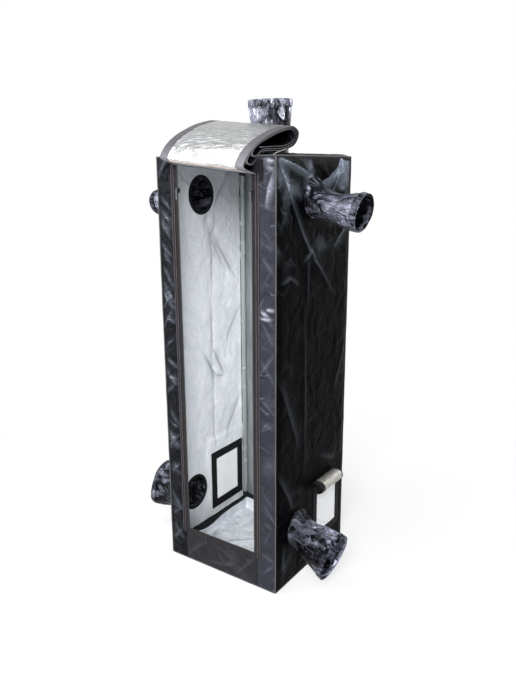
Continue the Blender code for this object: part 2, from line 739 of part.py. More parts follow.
def make_door():
    """The rolled door: one spiral of cloth, a little higher at its left end."""
    section = door_section()
    last = len(section) - 1
    seam = section[0]

    def place(along_share, across_share):
        point = section[round(along_share * last)]
        lift = ROLL_LEFT_LIFT * (1 - across_share) * smoothed((seam - point).length / ROLL_RISE)
        x = DOOR_LEFT + (DOOR_RIGHT - DOOR_LEFT) * across_share
        return Vector((x, point.x, point.y + lift))

    sheet("door_roll", "silver lining", (last, ROLL_ACROSS_STEPS), place, DOOR_CLOTH, offset=0)
    print("door cloth length", round(section_length(section), 3))


def flap_section():
    """A rolled vent flap seen from its end: (out, z) points, out from the wall's face."""
    seam_gap = DOOR_SEAM_GAP
    middle = Vector((seam_gap + FLAP_CLOTH / 2 + FLAP_RADIUS,
                     VENT_Z + VENT_HEIGHT / 2 + FLAP_OVERLAP))
    points = [Vector((seam_gap, middle.y + FLAP_RADIUS))]
    for step in range(FLAP_STEPS + 1):
        share = step / FLAP_STEPS
        angle = pi / 2 - 2 * pi * FLAP_TURNS * share
        radius = FLAP_RADIUS + (FLAP_CORE_RADIUS - FLAP_RADIUS) * share
        points.append(middle + Vector((cos(angle), sin(angle))) * radius)
    return points


def make_flaps():
    """A rolled flap above each vent, silver side out."""
    section = flap_section()
    last = len(section) - 1
    for side, sign in (("left", -1), ("right", 1)):
        def place(along_share, across_share, sign=sign):
            point = section[round(along_share * last)]
            y = FLAP_Y + (across_share - 0.5) * FLAP_LENGTH
            return Vector((sign * (HALF_WIDTH + point.x), y, point.y))

        sheet(f"vent_flap_{side}", "silver lining", (last, 1), place, FLAP_CLOTH, offset=0)
    print("flap seam", round(HALF_WIDTH + section[0].x, 4), round(section[0].y, 4))
    print("flap cloth length", round(section_length(section), 3))


def make_tie():
    """Strap that ties the rolled door, lying loose on the roof."""
    bottom = TENT_HEIGHT + GAP
    low = (TIE_X - TIE_WIDTH / 2, TIE_BACK_Y - TIE_LENGTH, bottom)
    high = (TIE_X + TIE_WIDTH / 2, TIE_BACK_Y, bottom + TIE_THICKNESS)
    strap = round_edges(box_shape(low, high), 2, TIE_WIDTH / 4)
    add_piece("door_tie", mesh_of(strap, "door_tie"), "pale webbing")


# Zip

def doorway_outline(inset_low, inset_high):
    """A U round the doorway: corners in X and Z between two distances out from its edge."""
    near = DOORWAY_HALF + inset_low
    far = DOORWAY_HALF + inset_high
    top = DOORWAY_TOP - GAP
    return [(-far, top), (-far, SILL_HEIGHT - inset_high), (far, SILL_HEIGHT - inset_high),
            (far, top), (near, top), (near, SILL_HEIGHT - inset_low),
            (-near, SILL_HEIGHT - inset_low), (-near, top)]


def outline_shape(outline, front, depth):
    """An outline in X and Z, made a solid from its front face back along +Y."""
    shape = bmesh.new()
    face = shape.faces.new([shape.verts.new((x, front, z)) for x, z in outline])
    grown = bmesh.ops.extrude_face_region(shape, geom=[face])["geom"]
    moved = [part for part in grown if isinstance(part, bmesh.types.BMVert)]
    bmesh.ops.translate(shape, vec=(0, depth, 0), verts=moved)
    bmesh.ops.recalc_face_normals(shape, faces=shape.faces[:])
    return shape


def make_zip():
    """The U of tape and teeth, and a slider with its pull on each leg."""
    tape = outline_shape(doorway_outline(TEETH_WIDTH / 2, TAPE_WIDTH), -HALF_DEPTH, CLOTH)
    zip_piece = add_piece("door_zip", mesh_of(tape, "door_zip"), "zip tape")
    teeth = outline_shape(doorway_outline(0, TEETH_WIDTH), FRONT_MID - TEETH_DEPTH / 2, TEETH_DEPTH)
    join(zip_piece, "zip_teeth", teeth)
    for side, sign in (("left", -1), ("right", 1)):
        make_slider(side, sign)


def make_slider(side, sign):
    """A slider round the teeth, with two ears and a pin, and the pull that hangs on it."""
    middle = sign * (DOORWAY_HALF + TEETH_WIDTH / 2)
    half = SLIDER_WIDTH / 2
    depth = TEETH_DEPTH / 2 + GAP + SLIDER_WALL
    low_z = SLIDER_Z - SLIDER_HEIGHT / 2
    high_z = SLIDER_Z + SLIDER_HEIGHT / 2
    body = box_shape((middle - half, FRONT_MID - depth, low_z), (middle + half, FRONT_MID + depth, high_z))
    name = f"zip_slider_{side}"
    slider = add_piece(name, mesh_of(body, name), "zip metal")
    ear_inner = KNUCKLE_WIDTH / 2 + GAP
    ear_outer = ear_inner + EAR_WIDTH
    pin_y = FRONT_MID - depth - KNUCKLE_RADIUS - GAP
    pin_z = SLIDER_Z + KNUCKLE_RADIUS
    for number, start in enumerate((-ear_outer, ear_inner)):
        low = (middle + start, pin_y - KNUCKLE_RADIUS, pin_z - KNUCKLE_RADIUS)
        high = (middle + start + EAR_WIDTH, FRONT_MID - depth + SLIDER_WALL / 2, pin_z + KNUCKLE_RADIUS)
        join(slider, f"ear_{side}_{number}", box_shape(low, high))
    pin_end = ear_inner + EAR_WIDTH / 2
    pin = rod_shape((middle - pin_end, pin_y, pin_z), (middle + pin_end, pin_y, pin_z), PIN_RADIUS)
    join(slider, f"pin_{side}", pin)
    teeth_half = TEETH_WIDTH / 2 + GAP
    teeth_depth = TEETH_DEPTH / 2 + GAP
    over = SLIDER_HEIGHT / 2 + CUT_OVERRUN
    channel = box_shape((middle - teeth_half, FRONT_MID - teeth_depth, SLIDER_Z - over),
                        (middle + teeth_half, FRONT_MID + teeth_depth, SLIDER_Z + over))
    cut(slider, f"teeth_channel_{side}", channel)
    tape_half = CLOTH / 2 + GAP
    edges = sorted((middle, middle + sign * (half + CUT_OVERRUN)))
    slot = box_shape((edges[0], FRONT_MID - tape_half, SLIDER_Z - over),
                     (edges[1], FRONT_MID + tape_half, SLIDER_Z + over))
    cut(slider, f"tape_slot_{side}", slot)
    make_pull(side, middle, pin_y, pin_z)


def make_pull(side, x, y, z):
    """A pull tab: a knuckle round the slider's pin and a plate below it."""
    low = (x - PULL_WIDTH / 2, y - PULL_THICKNESS / 2, z - PULL_LENGTH)
    high = (x + PULL_WIDTH / 2, y + PULL_THICKNESS / 2, z - KNUCKLE_RADIUS - GAP)
    plate = round_edges(box_shape(low, high), 1, PULL_WIDTH / 4)
    name = f"zip_pull_{side}"
    pull = add_piece(name, mesh_of(plate, name), "zip metal")
    half = KNUCKLE_WIDTH / 2
    neck = box_shape((x - half, y - PULL_THICKNESS / 2, z - 2 * KNUCKLE_RADIUS),
                     (x + half, y + PULL_THICKNESS / 2, z))
    join(pull, f"pull_neck_{side}", neck)
    join(pull, f"pull_knuckle_{side}", rod_shape((x - half, y, z), (x + half, y, z), KNUCKLE_RADIUS))
    reach = half + CUT_OVERRUN
    cut(pull, f"pull_eye_{side}",
        rod_shape((x - reach, y, z), (x + reach, y, z), PIN_RADIUS + GAP))


# Floor tray

def tray_block(inset, bottom, top):
    """A block with the tray's outline, drawn in by inset, between two heights."""
    half_width = TRAY_HALF_WIDTH - inset
    half_depth = TRAY_HALF_DEPTH - inset
    block = box_shape((-half_width, -half_depth, bottom), (half_width, half_depth, top))
    return round_edges(block, 2, TRAY_CORNER)


def make_tray():
    """Spill tray: an open box of cloth with a bound top edge."""
    bottom = CLOTH + GAP
    top = bottom + TRAY_HEIGHT
    skirt = top - TRAY_BINDING_HEIGHT
    shape = tray_block(TRAY_BINDING, bottom, top)
    lid = [face for face in shape.faces if face.normal.z > 0.5]
    bmesh.ops.delete(shape, geom=lid, context="FACES")
    tray = add_piece("floor_tray", mesh_of(shape, "floor_tray"), "silver lining")
    solidify = tray.modifiers.new("thickness", "SOLIDIFY")
    solidify.thickness = CLOTH
    outer = tray_block(0, skirt, top + TRAY_BINDING)
    binding = add_piece("floor_tray_binding", mesh_of(outer, "floor_tray_binding"), "black webbing")
    groove_out = TRAY_BINDING - GAP
    groove_in = TRAY_BINDING + CLOTH + GAP
    mouth = tray_block(groove_in + TRAY_BINDING, skirt - CUT_OVERRUN, top + TRAY_BINDING + CUT_OVERRUN)
    cut(binding, "tray_mouth", mouth)
    groove = tray_block(groove_out, skirt - CUT_OVERRUN, top + GAP)
    core = tray_block(groove_in, skirt - 2 * CUT_OVERRUN, top + CUT_OVERRUN)
    ring = add_cutter("tray_groove", mesh_of(groove, "tray_groove"))
    hollow = add_cutter("tray_groove_core", mesh_of(core, "tray_groove_core"))
    combine(ring, hollow, "DIFFERENCE")
    combine(binding, ring, "DIFFERENCE")


def main():
    """Make the whole tent."""
    start_empty()
    make_frame()
    make_hanging_bar()
    make_side_walls()
    make_back_wall()
    make_roof_and_base()
    make_front()
    make_vents()
    make_sleeves()
    make_door()
    make_flaps()
    make_tie()
    make_zip()
    make_tray()


main()
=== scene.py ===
# %% [markdown]
# An indoor grow tent stands open: a square cabinet of black cloth with a silver lining, on a frame
# of pale grey tubes. Its door is rolled up onto the roof. The rigid parts come from the imported model
# and keep their shape. Everything that is cloth is made here, because cloth lives from its folds.
# First the imported model is loaded.

# %% Load the imported model
from math import ceil, cos, exp, pi, radians, sin, sqrt
from random import Random

import bmesh
import bpy
from mathutils import Matrix, Quaternion, Vector, noise


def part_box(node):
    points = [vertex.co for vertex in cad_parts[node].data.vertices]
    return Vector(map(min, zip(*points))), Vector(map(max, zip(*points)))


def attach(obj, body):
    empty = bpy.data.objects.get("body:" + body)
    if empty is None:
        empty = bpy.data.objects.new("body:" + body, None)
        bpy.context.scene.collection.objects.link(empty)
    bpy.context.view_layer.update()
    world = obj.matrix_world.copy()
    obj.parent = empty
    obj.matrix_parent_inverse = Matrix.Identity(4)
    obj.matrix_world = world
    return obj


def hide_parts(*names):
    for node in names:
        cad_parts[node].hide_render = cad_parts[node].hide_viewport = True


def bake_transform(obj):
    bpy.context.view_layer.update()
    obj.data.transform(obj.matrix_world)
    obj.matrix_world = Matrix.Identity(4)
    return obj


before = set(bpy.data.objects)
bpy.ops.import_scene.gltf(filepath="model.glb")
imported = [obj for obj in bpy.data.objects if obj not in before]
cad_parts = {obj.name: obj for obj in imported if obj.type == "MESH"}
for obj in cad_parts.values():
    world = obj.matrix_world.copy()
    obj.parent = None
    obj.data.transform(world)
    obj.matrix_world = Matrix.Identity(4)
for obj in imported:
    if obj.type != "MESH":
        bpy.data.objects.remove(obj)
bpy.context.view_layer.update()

# %% [markdown]
# The camera stands nearly as high as the tent and looks down at its front right edge, so the front
# and the right side are both seen. Its place, its turns and its lens were worked out from the corners
# of the tent in the picture.

# %% Camera
CAMERA_PLACE = Vector((1.1305, -1.6141, 1.2111))
CAMERA_TURN = radians(34.94)
CAMERA_TILT = radians(14.93)
CAMERA_ROLL = radians(-0.31)
SENSOR = 36
LENS = 34.72

camera = bpy.data.objects.new("camera", bpy.data.cameras.new("camera"))
bpy.context.scene.collection.objects.link(camera)
camera.data.sensor_width = SENSOR
camera.data.sensor_height = SENSOR
camera.data.lens = LENS
behind = Vector((sin(CAMERA_TURN) * cos(CAMERA_TILT), -cos(CAMERA_TURN) * cos(CAMERA_TILT),
                 sin(CAMERA_TILT)))
turn = behind.to_track_quat("Z", "Y")
camera.location = CAMERA_PLACE
camera.rotation_euler = (turn @ Quaternion((0, 0, 1), CAMERA_ROLL)).to_euler()
bpy.context.scene.camera = camera
print("camera", [round(part, 3) for part in CAMERA_PLACE], "lens", camera.data.lens)

# %% [markdown]
# Every finish here is procedural. Its maths is written as plain expressions: a Wire holds one
# socket of a node, and adding or multiplying wires adds the Math nodes. A Finish is one material
# with a single way to add any other node, so each recipe below stays a few lines long.

# %% Wires and finishes
HALF_EACH = (0.5, 0.5, 0.5)


class Wire:
    """One output socket, so that shader maths reads as an expression."""

    def __init__(self, finish, socket):
        self.finish = finish
        self.socket = socket

    def math(self, operation, first, second=0.0):
        sockets = {0: first, 1: second}
        return self.finish.node("Math", {"operation": operation}, sockets)

    def __add__(self, other):
        return self.math("ADD", self, other)

    def __radd__(self, other):
        return self.math("ADD", other, self)

    def __sub__(self, other):
        return self.math("SUBTRACT", self, other)

    def __rsub__(self, other):
        return self.math("SUBTRACT", other, self)

    def __mul__(self, other):
        return self.math("MULTIPLY", self, other)

    def __rmul__(self, other):
        return self.math("MULTIPLY", other, self)

    def __gt__(self, other):
        return self.math("GREATER_THAN", self, other)

    def __lt__(self, other):
        return self.math("LESS_THAN", self, other)

    def wave(self, pitch):
        """A sine along this value, with one wave in each pitch."""
        return self.math("SINE", self * (2 * pi / pitch))

    def clamped(self):
        """This value, held between 0 and 1."""
        return self.math("MINIMUM", self.math("MAXIMUM", self, 0.0), 1.0)

    def between(self, low, high):
        """0 below low, 1 above high, and a soft step between."""
        sockets = {"Value": self, "From Min": low, "From Max": high}
        return self.finish.node("MapRange", {"interpolation_type": "SMOOTHSTEP"}, sockets)


class Finish:
    """A material that is being wired."""

    def __init__(self, name, tree=None):
        if tree is None:
            self.material = bpy.data.materials.new(name)
            self.material.use_nodes = True
            tree = self.material.node_tree
            self.shader = tree.nodes["Principled BSDF"]
        self.tree = tree

    def node(self, kind, settings=None, sockets=None, out=0):
        """Add a node: its settings first, then the values or wires of its sockets."""
        made = self.tree.nodes.new("ShaderNode" + kind)
        for name, value in (settings or {}).items():
            setattr(made, name, value)
        for name, value in (sockets or {}).items():
            self.feed(made.inputs[name], value)
        return Wire(self, made.outputs[out])

    def feed(self, socket, value):
        """Put a value or a wire into a socket."""
        if isinstance(value, Wire):
            self.tree.links.new(value.socket, socket)
        else:
            socket.default_value = value

    def set(self, **values):
        """Feed the shader's own sockets, named with _ for a space."""
        for name, value in values.items():
            self.feed(self.shader.inputs[name.replace("_", " ")], value)

    def place(self):
        """The object's own coordinates."""
        return self.node("TexCoord", out="Object")

    def parts(self, vector):
        """The three parts of a vector."""
        made = self.node("SeparateXYZ", sockets={"Vector": vector})
        return [Wire(self, socket) for socket in made.socket.node.outputs]

    def vectors(self, operation, first, second, out=0):
        """Two vectors taken together."""
        return self.node("VectorMath", {"operation": operation}, {0: first, 1: second}, out)

    def bent(self, vector, scale, reach):
        """A vector pushed about by noise, so that a pattern on it isn't regular."""
        push = self.node("TexNoise", sockets={"Vector": vector, "Scale": scale}, out="Color")
        middle = self.vectors("SUBTRACT", push, HALF_EACH)
        scaled = self.node("VectorMath", {"operation": "SCALE"}, {0: middle, "Scale": reach})
        return self.vectors("ADD", vector, scaled)

    def noise(self, vector, scale, detail=3.0, kind="FBM"):
        settings = {"noise_type": kind}
        return self.node("TexNoise", settings, {"Vector": vector, "Scale": scale, "Detail": detail})

    def facets(self, vector, scale):
        """Flat facets with sharp folds between them: 0 on the folds, more inside the facets."""
        settings = {"feature": "DISTANCE_TO_EDGE"}
        return self.node("TexVoronoi", settings, {"Vector": vector, "Scale": scale})

    def leaning(self, vector, scale, slant):
        """Flat facets that each lean their own way: their height in metres, and for each facet a
        number of its own from 0 to 1."""
        settings = {"feature": "SMOOTH_F1"}
        sockets = {"Vector": vector, "Scale": scale, "Smoothness": 0.25}
        own = self.node("TexVoronoi", settings, sockets, "Color")
        middle = Wire(self, own.socket.node.outputs["Position"])
        away = self.vectors("SUBTRACT", vector, middle)
        lean = self.vectors("SUBTRACT", own, HALF_EACH)
        return self.vectors("DOT_PRODUCT", away, lean, "Value") * (2 * slant), self.parts(own)[0]

    def measured(self, name):
        """A number that the mesh carries at its points, such as the painted shading along a fold."""
        return self.node("Attribute", {"attribute_name": name}, out="Fac")

    def colours(self, mask, first, second):
        """A colour that goes from first to second with the mask."""
        settings = {"data_type": "RGBA"}
        made = self.node("Mix", settings, {0: mask}, out=2)
        for number, colour in enumerate((first, second)):
            full = (*colour, 1) if isinstance(colour, tuple) else colour
            self.feed(made.socket.node.inputs[6 + number], full)
        return made

    def bump(self, height, distance, strength=1.0, under=None):
        """A bump of that height in metres, over another bump if there is one."""
        sockets = {"Height": height, "Distance": distance, "Strength": strength}
        if under is not None:
            sockets["Normal"] = under
        return self.node("Bump", sockets=sockets)


print("shader helpers ready")

# %% [markdown]
# The cover is black coated cloth. Close up it has a plain weave of about a millimetre. From further
# away its look comes from the coating, which creases like stiff paper. So the bump is a weave with
# two sizes of facets over it. Its highlights are painted into the colour: it turns pale, bluish and
# partly metallic in soft patches, along thin creases, over some facets, and along the folds where
# the meshes carry painted shading. A little dust lies between them, and thin crease lines are
# darkened with painted shade.

# %% Black cloth
LAVENDER = (0.80, 0.83, 1.0)
WEAVE = 0.0011
DUST = (0.20, 0.20, 0.21)


def darker(colour, share):
    """A colour with this share of its brightness."""
    return tuple(share * part for part in colour)


def black_cloth(name, facet, slant, gloss, shine, dark, light, patch_highlight, crease_highlight, top=None,
                stretch=(1, 1, 1), facet_highlight=0.0):
    """Coated black cloth: facet is facets to a metre, slant how steeply they lean, gloss its
    roughness and shine its reflection. Highlights are painted into it, from dark to the light colour
    with Metallic: in soft patches by patch_highlight, along fine creases by crease_highlight, over some
    facets by facet_highlight, and where folds carry painted shading and crease lines. Below top these
    painted highlights nearly fade away. Thin crease lines get painted shade. The facets are longer
    along an axis where stretch is below 1."""
    cloth = Finish(name)
    place = cloth.place()
    x, y, z = cloth.parts(place)
    weave = x.wave(WEAVE) + y.wave(WEAVE) + z.wave(WEAVE)
    bent = cloth.vectors("MULTIPLY", cloth.bent(place, 11.0, 0.035), stretch)
    large, number = cloth.leaning(bent, facet, slant)
    small, second = cloth.leaning(bent, facet * 2.6, slant * 0.7)
    slack = cloth.noise(place, facet * 0.8, 3.0)
    creased = cloth.bump(large + small + slack * (slant * 0.02), 1.0, 1.0)
    woven = cloth.bump(weave, 0.00008, 0.4, under=creased)
    wander = cloth.noise(place, 19.0, 4.0)
    # Painted highlight: soft pale patches of the light colour.
    highlight_patches = cloth.noise(bent, facet * 0.5, 5.0).between(0.50, 0.72) * patch_highlight
    # Painted highlight: thin pale lines along fine creases.
    ridge = cloth.noise(bent, facet * 0.45, 1.0) - 0.5
    fine = (1 - ridge.math("ABSOLUTE", ridge).between(0.0, 0.016)) * wander.between(0.49, 0.58) * crease_highlight
    # Painted highlights along the folds, read from the shading and crease lines that the mesh carries.
    folds = cloth.measured("painted_fold_shading") + cloth.measured("crease") * 0.8
    # Painted highlight on some of the facets.
    if facet_highlight:
        uneven = cloth.noise(bent, facet * 1.1, 4.0).between(0.34, 0.70) * facet_highlight
        folds = folds + (number.between(0.60, 0.72) + second.between(0.64, 0.76) * 0.5) * uneven
    # The painted highlights are full above top, where the lamps light the upper cloth, and nearly fade
    # below it.
    if top is not None:
        upper = z.between(top, top + 0.22)
        highlight_patches = highlight_patches * upper
        fine = fine * (upper * 0.8 + 0.2)
        folds = folds * (upper * 0.82 + 0.18)
    # bright is all the painted highlight: it turns the colour from dark to light, raises Metallic and
    # lowers Roughness.
    bright = (highlight_patches + fine + folds).clamped()
    dust = cloth.noise(bent, 420.0, 2.0).between(0.66, 0.78) * wander.between(0.45, 0.7)
    # Painted shade: thin darker lines along the facet creases.
    crease_shade_lines = (1 - cloth.facets(bent, facet * 1.4).between(0.0, 0.03)) * wander.between(0.48, 0.60)
    painted_highlight_colour = cloth.colours(bright, cloth.colours(wander, dark, darker(dark, 0.6)), light)
    crease_shaded = cloth.colours(crease_shade_lines * 0.5, painted_highlight_colour, darker(dark, 0.3))
    cloth.set(Base_Color=cloth.colours(dust * 0.06, crease_shaded, DUST),
              Roughness=wander * 0.12 + gloss - bright * 0.05, Metallic=bright * 0.85, Normal=woven,
              Specular_IOR_Level=shine, Specular_Tint=(*LAVENDER, 1))
    return cloth.material


# The walls' painted highlights are full only above 0.90 m.
wall_cloth = black_cloth("black_wall_cloth", 17.0, 0.028, 0.24, 0.010, (0.0020, 0.0021, 0.0025),
                         (0.135, 0.155, 0.180), 0.55, 0.18, top=0.90)
left_cloth = black_cloth("black_left_strip_cloth", 24.0, 0.13, 0.18, 0.07, (0.0045, 0.0050, 0.0066),
                         (0.074, 0.081, 0.098), 0.20, 0.25)
# The right strip is painted lighter and bluer than the left one, as the reflection on it.
right_strip_sheen_cloth = black_cloth("black_right_strip_painted_sheen", 22.0, 0.06, 0.32, 0.10, (0.0250, 0.0260, 0.0345),
                          (0.250, 0.260, 0.310), 0.06, 0.25)
sill_cloth = black_cloth("black_sill_cloth", 26.0, 0.08, 0.34, 0.10, (0.0165, 0.0165, 0.0185),
                         (0.090, 0.090, 0.105), 0.14, 0.25)
# The sleeves' facets get painted highlights too, and the roof sleeve, on top, is painted brighter.
side_sleeve_cloth = black_cloth("black_side_sleeve_cloth", 46.0, 0.36, 0.15, 0.05,
                                (0.0026, 0.0027, 0.0040), (0.260, 0.270, 0.340), 0.06, 0.4,
                                None, (0.42, 1, 1), 0.62)
roof_sleeve_cloth = black_cloth("black_roof_sleeve_cloth", 46.0, 0.40, 0.14, 0.06,
                                (0.0060, 0.0062, 0.0090), (0.420, 0.430, 0.520), 0.22, 0.4,
                                None, (1, 1, 0.42), 1.00)
print("black cloths", wall_cloth.name, left_cloth.name, right_strip_sheen_cloth.name, side_sleeve_cloth.name)

# %% [markdown]
# The lining is a film of bright metal behind clear plastic. It isn't a mirror: it was crushed when
# the tent was packed, so it throws back a soft, slightly blue white with darker facets. A partly
# metallic shader gives that, with facets in its bump and a mottled roughness. Painted shade darkens
# the lines between its facets and along the folds that the meshes carry, and it is painted darker
# near the top, as the shade where less light reaches it.

# %% Silver lining
def silver_film(name, tint, shade, facet_scale, crush, metal, gloss=0.30, stretch=(1, 1, 1),
                folds=0.10, painted_top_shade=None):
    """Crushed silver film: tint is its light colour, shade the colour of its duller facets, and
    stretch draws the facets out along an axis where it is below 1. With painted_top_shade, a low and a
    high place along Z and a share, the film is painted darker by that share between them, as shade.
    Painted shade also darkens the lines between facets and the folds and crease lines on the mesh."""
    film = Finish(name)
    place = film.vectors("MULTIPLY", film.place(), stretch)
    bent = film.bent(place, 9.0, 0.05)
    large = film.facets(bent, facet_scale)
    small = film.facets(bent, facet_scale * 3.1)
    soft = film.noise(place, facet_scale * 0.9, 5.0)
    crumple = large.between(0.0, 0.35) * 0.4 + small.between(0.0, 0.4) * 0.2 + soft * 0.9
    mottle = film.noise(bent, facet_scale * 1.3, 5.0)
    # Painted shade: dark lines between the facets, and the painted fold shading and crease lines of the
    # mesh.
    fold = (1 - large.between(0.0, 0.05)) * folds
    painted_fold_shade = (fold + film.measured("crease") * 0.70 + film.measured("painted_fold_shading") * 0.42).clamped()
    base = film.colours(mottle.between(0.35, 0.68), shade, tint)
    # Painted shade: darker towards the top.
    if painted_top_shade:
        low, high, share = painted_top_shade
        height = film.parts(film.place())[2] + (mottle - 0.5) * ((high - low) * 0.6)
        base = film.colours(height.between(low, high) * share, base, darker(shade, 0.3))
    film.set(Base_Color=film.colours(painted_fold_shade, base, darker(shade, 0.45)),
             Roughness=gloss + mottle * 0.22, Metallic=metal, Normal=film.bump(crumple, crush, 0.7))
    return film.material


# The lining is painted darker above 0.78 m, as shade where less light reaches it.
lining = silver_film("silver_lining_film", (0.94, 0.955, 0.98), (0.88, 0.905, 0.945), 15.0, 0.0034,
                     0.12, painted_top_shade=(0.78, 1.20, 0.40))
tray_film = silver_film("silver_tray_film", (0.80, 0.82, 0.85), (0.60, 0.63, 0.67), 30.0, 0.0050,
                        0.20, folds=0.08)
# A shaded copy of the lining for the back wall: painted darker, as the shade it lies in.
shaded_back_lining = silver_film("shaded_silver_back_film", (0.42, 0.45, 0.46), (0.29, 0.32, 0.33), 15.0, 0.0034,
                          0.50, stretch=(1, 1, 0.2))
# The door film is painted darker on top of the roll, as shade.
door_film = silver_film("silver_door_film", (0.80, 0.81, 0.82), (0.56, 0.57, 0.58), 58.0, 0.0042,
                        0.86, 0.22, (0.35, 1, 1), 0.0, painted_top_shade=(1.232, 1.268, 0.68))
flap_film = silver_film("silver_flap_film", (0.38, 0.37, 0.345), (0.28, 0.27, 0.245), 60.0, 0.0024,
                        0.35)
print("silver films", lining.name, shaded_back_lining.name, door_film.name, flap_film.name)

# %% [markdown]
# Bindings, zip tape and straps are ribbed webbing: fine cords that lie across the band. The pale
# strap has the same rib in undyed yarn. Fuzz is a fine noise in the colour. The door's binding is
# painted darker on top of the roll than on its front, as shade.

# %% Webbing
def webbing(name, colour, light, pitch=0.0016, rough=0.78, fuzzy=0.02, painted_top_shade=None):
    """Ribbed webbing of one yarn, from its darker colour to its lighter one. With painted_top_shade, a
    low and a high place along Z and a share, it is painted darker by that share between them, as shade."""
    band = Finish(name)
    place = band.place()
    x, y, z = band.parts(place)
    rib = (x + y + z).wave(pitch) + (x - y + z).wave(pitch)
    fuzz = band.noise(place, 700.0, 3.0)
    patch = band.noise(place, 22.0, 3.0)
    base = band.colours(fuzz * 0.6 + patch * 0.4, colour, light)
    # Painted shade: darker towards the top.
    if painted_top_shade:
        low, high, share = painted_top_shade
        base = band.colours(z.between(low, high) * share, base, darker(colour, 0.3))
    band.set(Base_Color=base, Roughness=rough + fuzz * 0.12, Normal=band.bump(rib, 0.00022, 0.8),
             Specular_IOR_Level=0.14, Sheen_Weight=fuzzy, Sheen_Roughness=0.4)
    return band.material


black_binding = webbing("black_binding", (0.0040, 0.0042, 0.0050), (0.0130, 0.0135, 0.0160))
# The piping's pale grey is partly a painted highlight along the cover's edges.
painted_highlight_piping = webbing("grey_piping_painted_highlight", (0.050, 0.050, 0.054), (0.135, 0.133, 0.140), 0.0011, 0.36)
zip_tape = webbing("brown_zip_tape", (0.0090, 0.0074, 0.0080), (0.0300, 0.0250, 0.0265))
edge_cord = webbing("mauve_edge_cord", (0.055, 0.048, 0.056), (0.120, 0.108, 0.122), 0.0011, 0.45)
# The door binding is painted darker on top of the roll, as shade.
door_grey = webbing("grey_door_binding", (0.13, 0.126, 0.142), (0.27, 0.262, 0.294), 0.0014, 0.40,
                    0.04, painted_top_shade=(1.215, 1.285, 0.72))
rose_tape = webbing("rose_door_tape", (0.42, 0.34, 0.31), (0.64, 0.55, 0.51), 0.0014, 0.5, 0.1)
pale_strap = webbing("pale_strap", (0.42, 0.40, 0.36), (0.66, 0.63, 0.57), fuzzy=0.12)
thread = webbing("black_thread", (0.020, 0.020, 0.022), (0.060, 0.060, 0.064), 0.0006, 0.6)
print("webbings", black_binding.name, painted_highlight_piping.name, zip_tape.name, pale_strap.name)

# %% [markdown]
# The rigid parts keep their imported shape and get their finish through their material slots. The
# tubes are steel under a pale grey enamel, which has a faint orange peel and a few scuffs. The
# corners are black moulded plastic with a fine grain. Zip sliders are dark enamelled metal that is
# rubbed bright in places.

# %% Tube paint, plastic and zip metal
def tube_enamel():
    enamel = Finish("grey_tube_enamel")
    place = enamel.place()
    peel = enamel.noise(place, 620.0, 2.0)
    wander = enamel.noise(place, 24.0, 4.0)
    scuff = enamel.noise(enamel.bent(place, 40.0, 0.02), 130.0, 5.0).between(0.68, 0.74)
    clean = enamel.colours(wander, (0.36, 0.39, 0.39), (0.50, 0.53, 0.53))
    enamel.set(Base_Color=enamel.colours(scuff * 0.6, clean, (0.22, 0.23, 0.23)), Metallic=0.55,
               Roughness=0.20 + wander * 0.12, Normal=enamel.bump(peel, 0.00005, 0.6))
    return enamel.material


def moulded_plastic():
    plastic = Finish("black_moulded_plastic")
    place = plastic.place()
    grain = plastic.noise(place, 900.0, 3.0)
    wander = plastic.noise(place, 45.0, 4.0)
    plastic.set(Base_Color=plastic.colours(wander, (0.012, 0.012, 0.013), (0.028, 0.028, 0.030)),
                Roughness=0.38 + wander * 0.18, Normal=plastic.bump(grain, 0.00008, 0.7))
    return plastic.material


def zip_metal():
    metal = Finish("dark_zip_metal")
    place = metal.place()
    rub = metal.noise(place, 260.0, 4.0).between(0.52, 0.66)
    fine = metal.noise(place, 1500.0, 2.0)
    metal.set(Base_Color=metal.colours(rub, (0.012, 0.012, 0.014), (0.060, 0.060, 0.064)),
              Metallic=0.4 + rub * 0.3, Roughness=0.42 - rub * 0.10,
              Normal=metal.bump(fine, 0.00004, 0.6))
    return metal.material


enamelled_tube = tube_enamel()
corner_plastic = moulded_plastic()
slider_metal = zip_metal()
kept = {"corner_": corner_plastic, "upright_": enamelled_tube, "rail_": enamelled_tube,
        "hanging_bar": enamelled_tube, "zip_slider_": slider_metal, "zip_pull_": slider_metal}
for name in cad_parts:
    for start, finish in kept.items():
        if name.startswith(start):
            for place in bpy.data.objects[name].material_slots:
                place.material = finish
            print("finish of", name, finish.name)

# %% [markdown]
# All cloth here starts as a grid. A rule turns each crossing of its lines into a point, so one
# helper makes walls, sleeves, rolls and cords. Solidify gives the cloth its thickness afterwards,
# and puts a second finish on its inner side. The noise vectors that crumple it start from the clock
# if they aren't given a seed, so they get one first, and the cloth is the same each run.

# %% Cloth helpers
NOISE_SEED = 7
noise.seed_set(NOISE_SEED)
SIDES = (("left", -1), ("right", 1))
CLOTH = 0.0010
STITCH = (0.0028, 0.0007, 0.0007)
STITCH_PITCH = 0.0042
# Painted fold shading steps over this width from a fold's slack side to its steep side; the painted
# crease line has this width and is full at this fold height.
PAINTED_SHADING_STEP = 0.009
CREASE_WIDTH = 0.0030
FULL_CREASE = 0.006


def smooth_step(share):
    """A soft step from 0 to 1."""
    share = min(max(share, 0), 1)
    return share * share * (3 - 2 * share)


def drift(a, b, c):
    """Soft noise at three numbers, from about -1 to 1."""
    return noise.noise(Vector((a, b, c)))


def lines(low, high, step, own=()):
    """Where a grid's lines lie: even steps from low to high, and some places of their own."""
    count = max(1, round((high - low) / step))
    even = [low + (high - low) * k / count for k in range(count + 1)]
    own = [low, high, *[place for place in own if low < place < high]]
    free = [place for place in even if all(abs(place - mark) > step * 0.4 for mark in own)]
    return sorted([*free, *own])


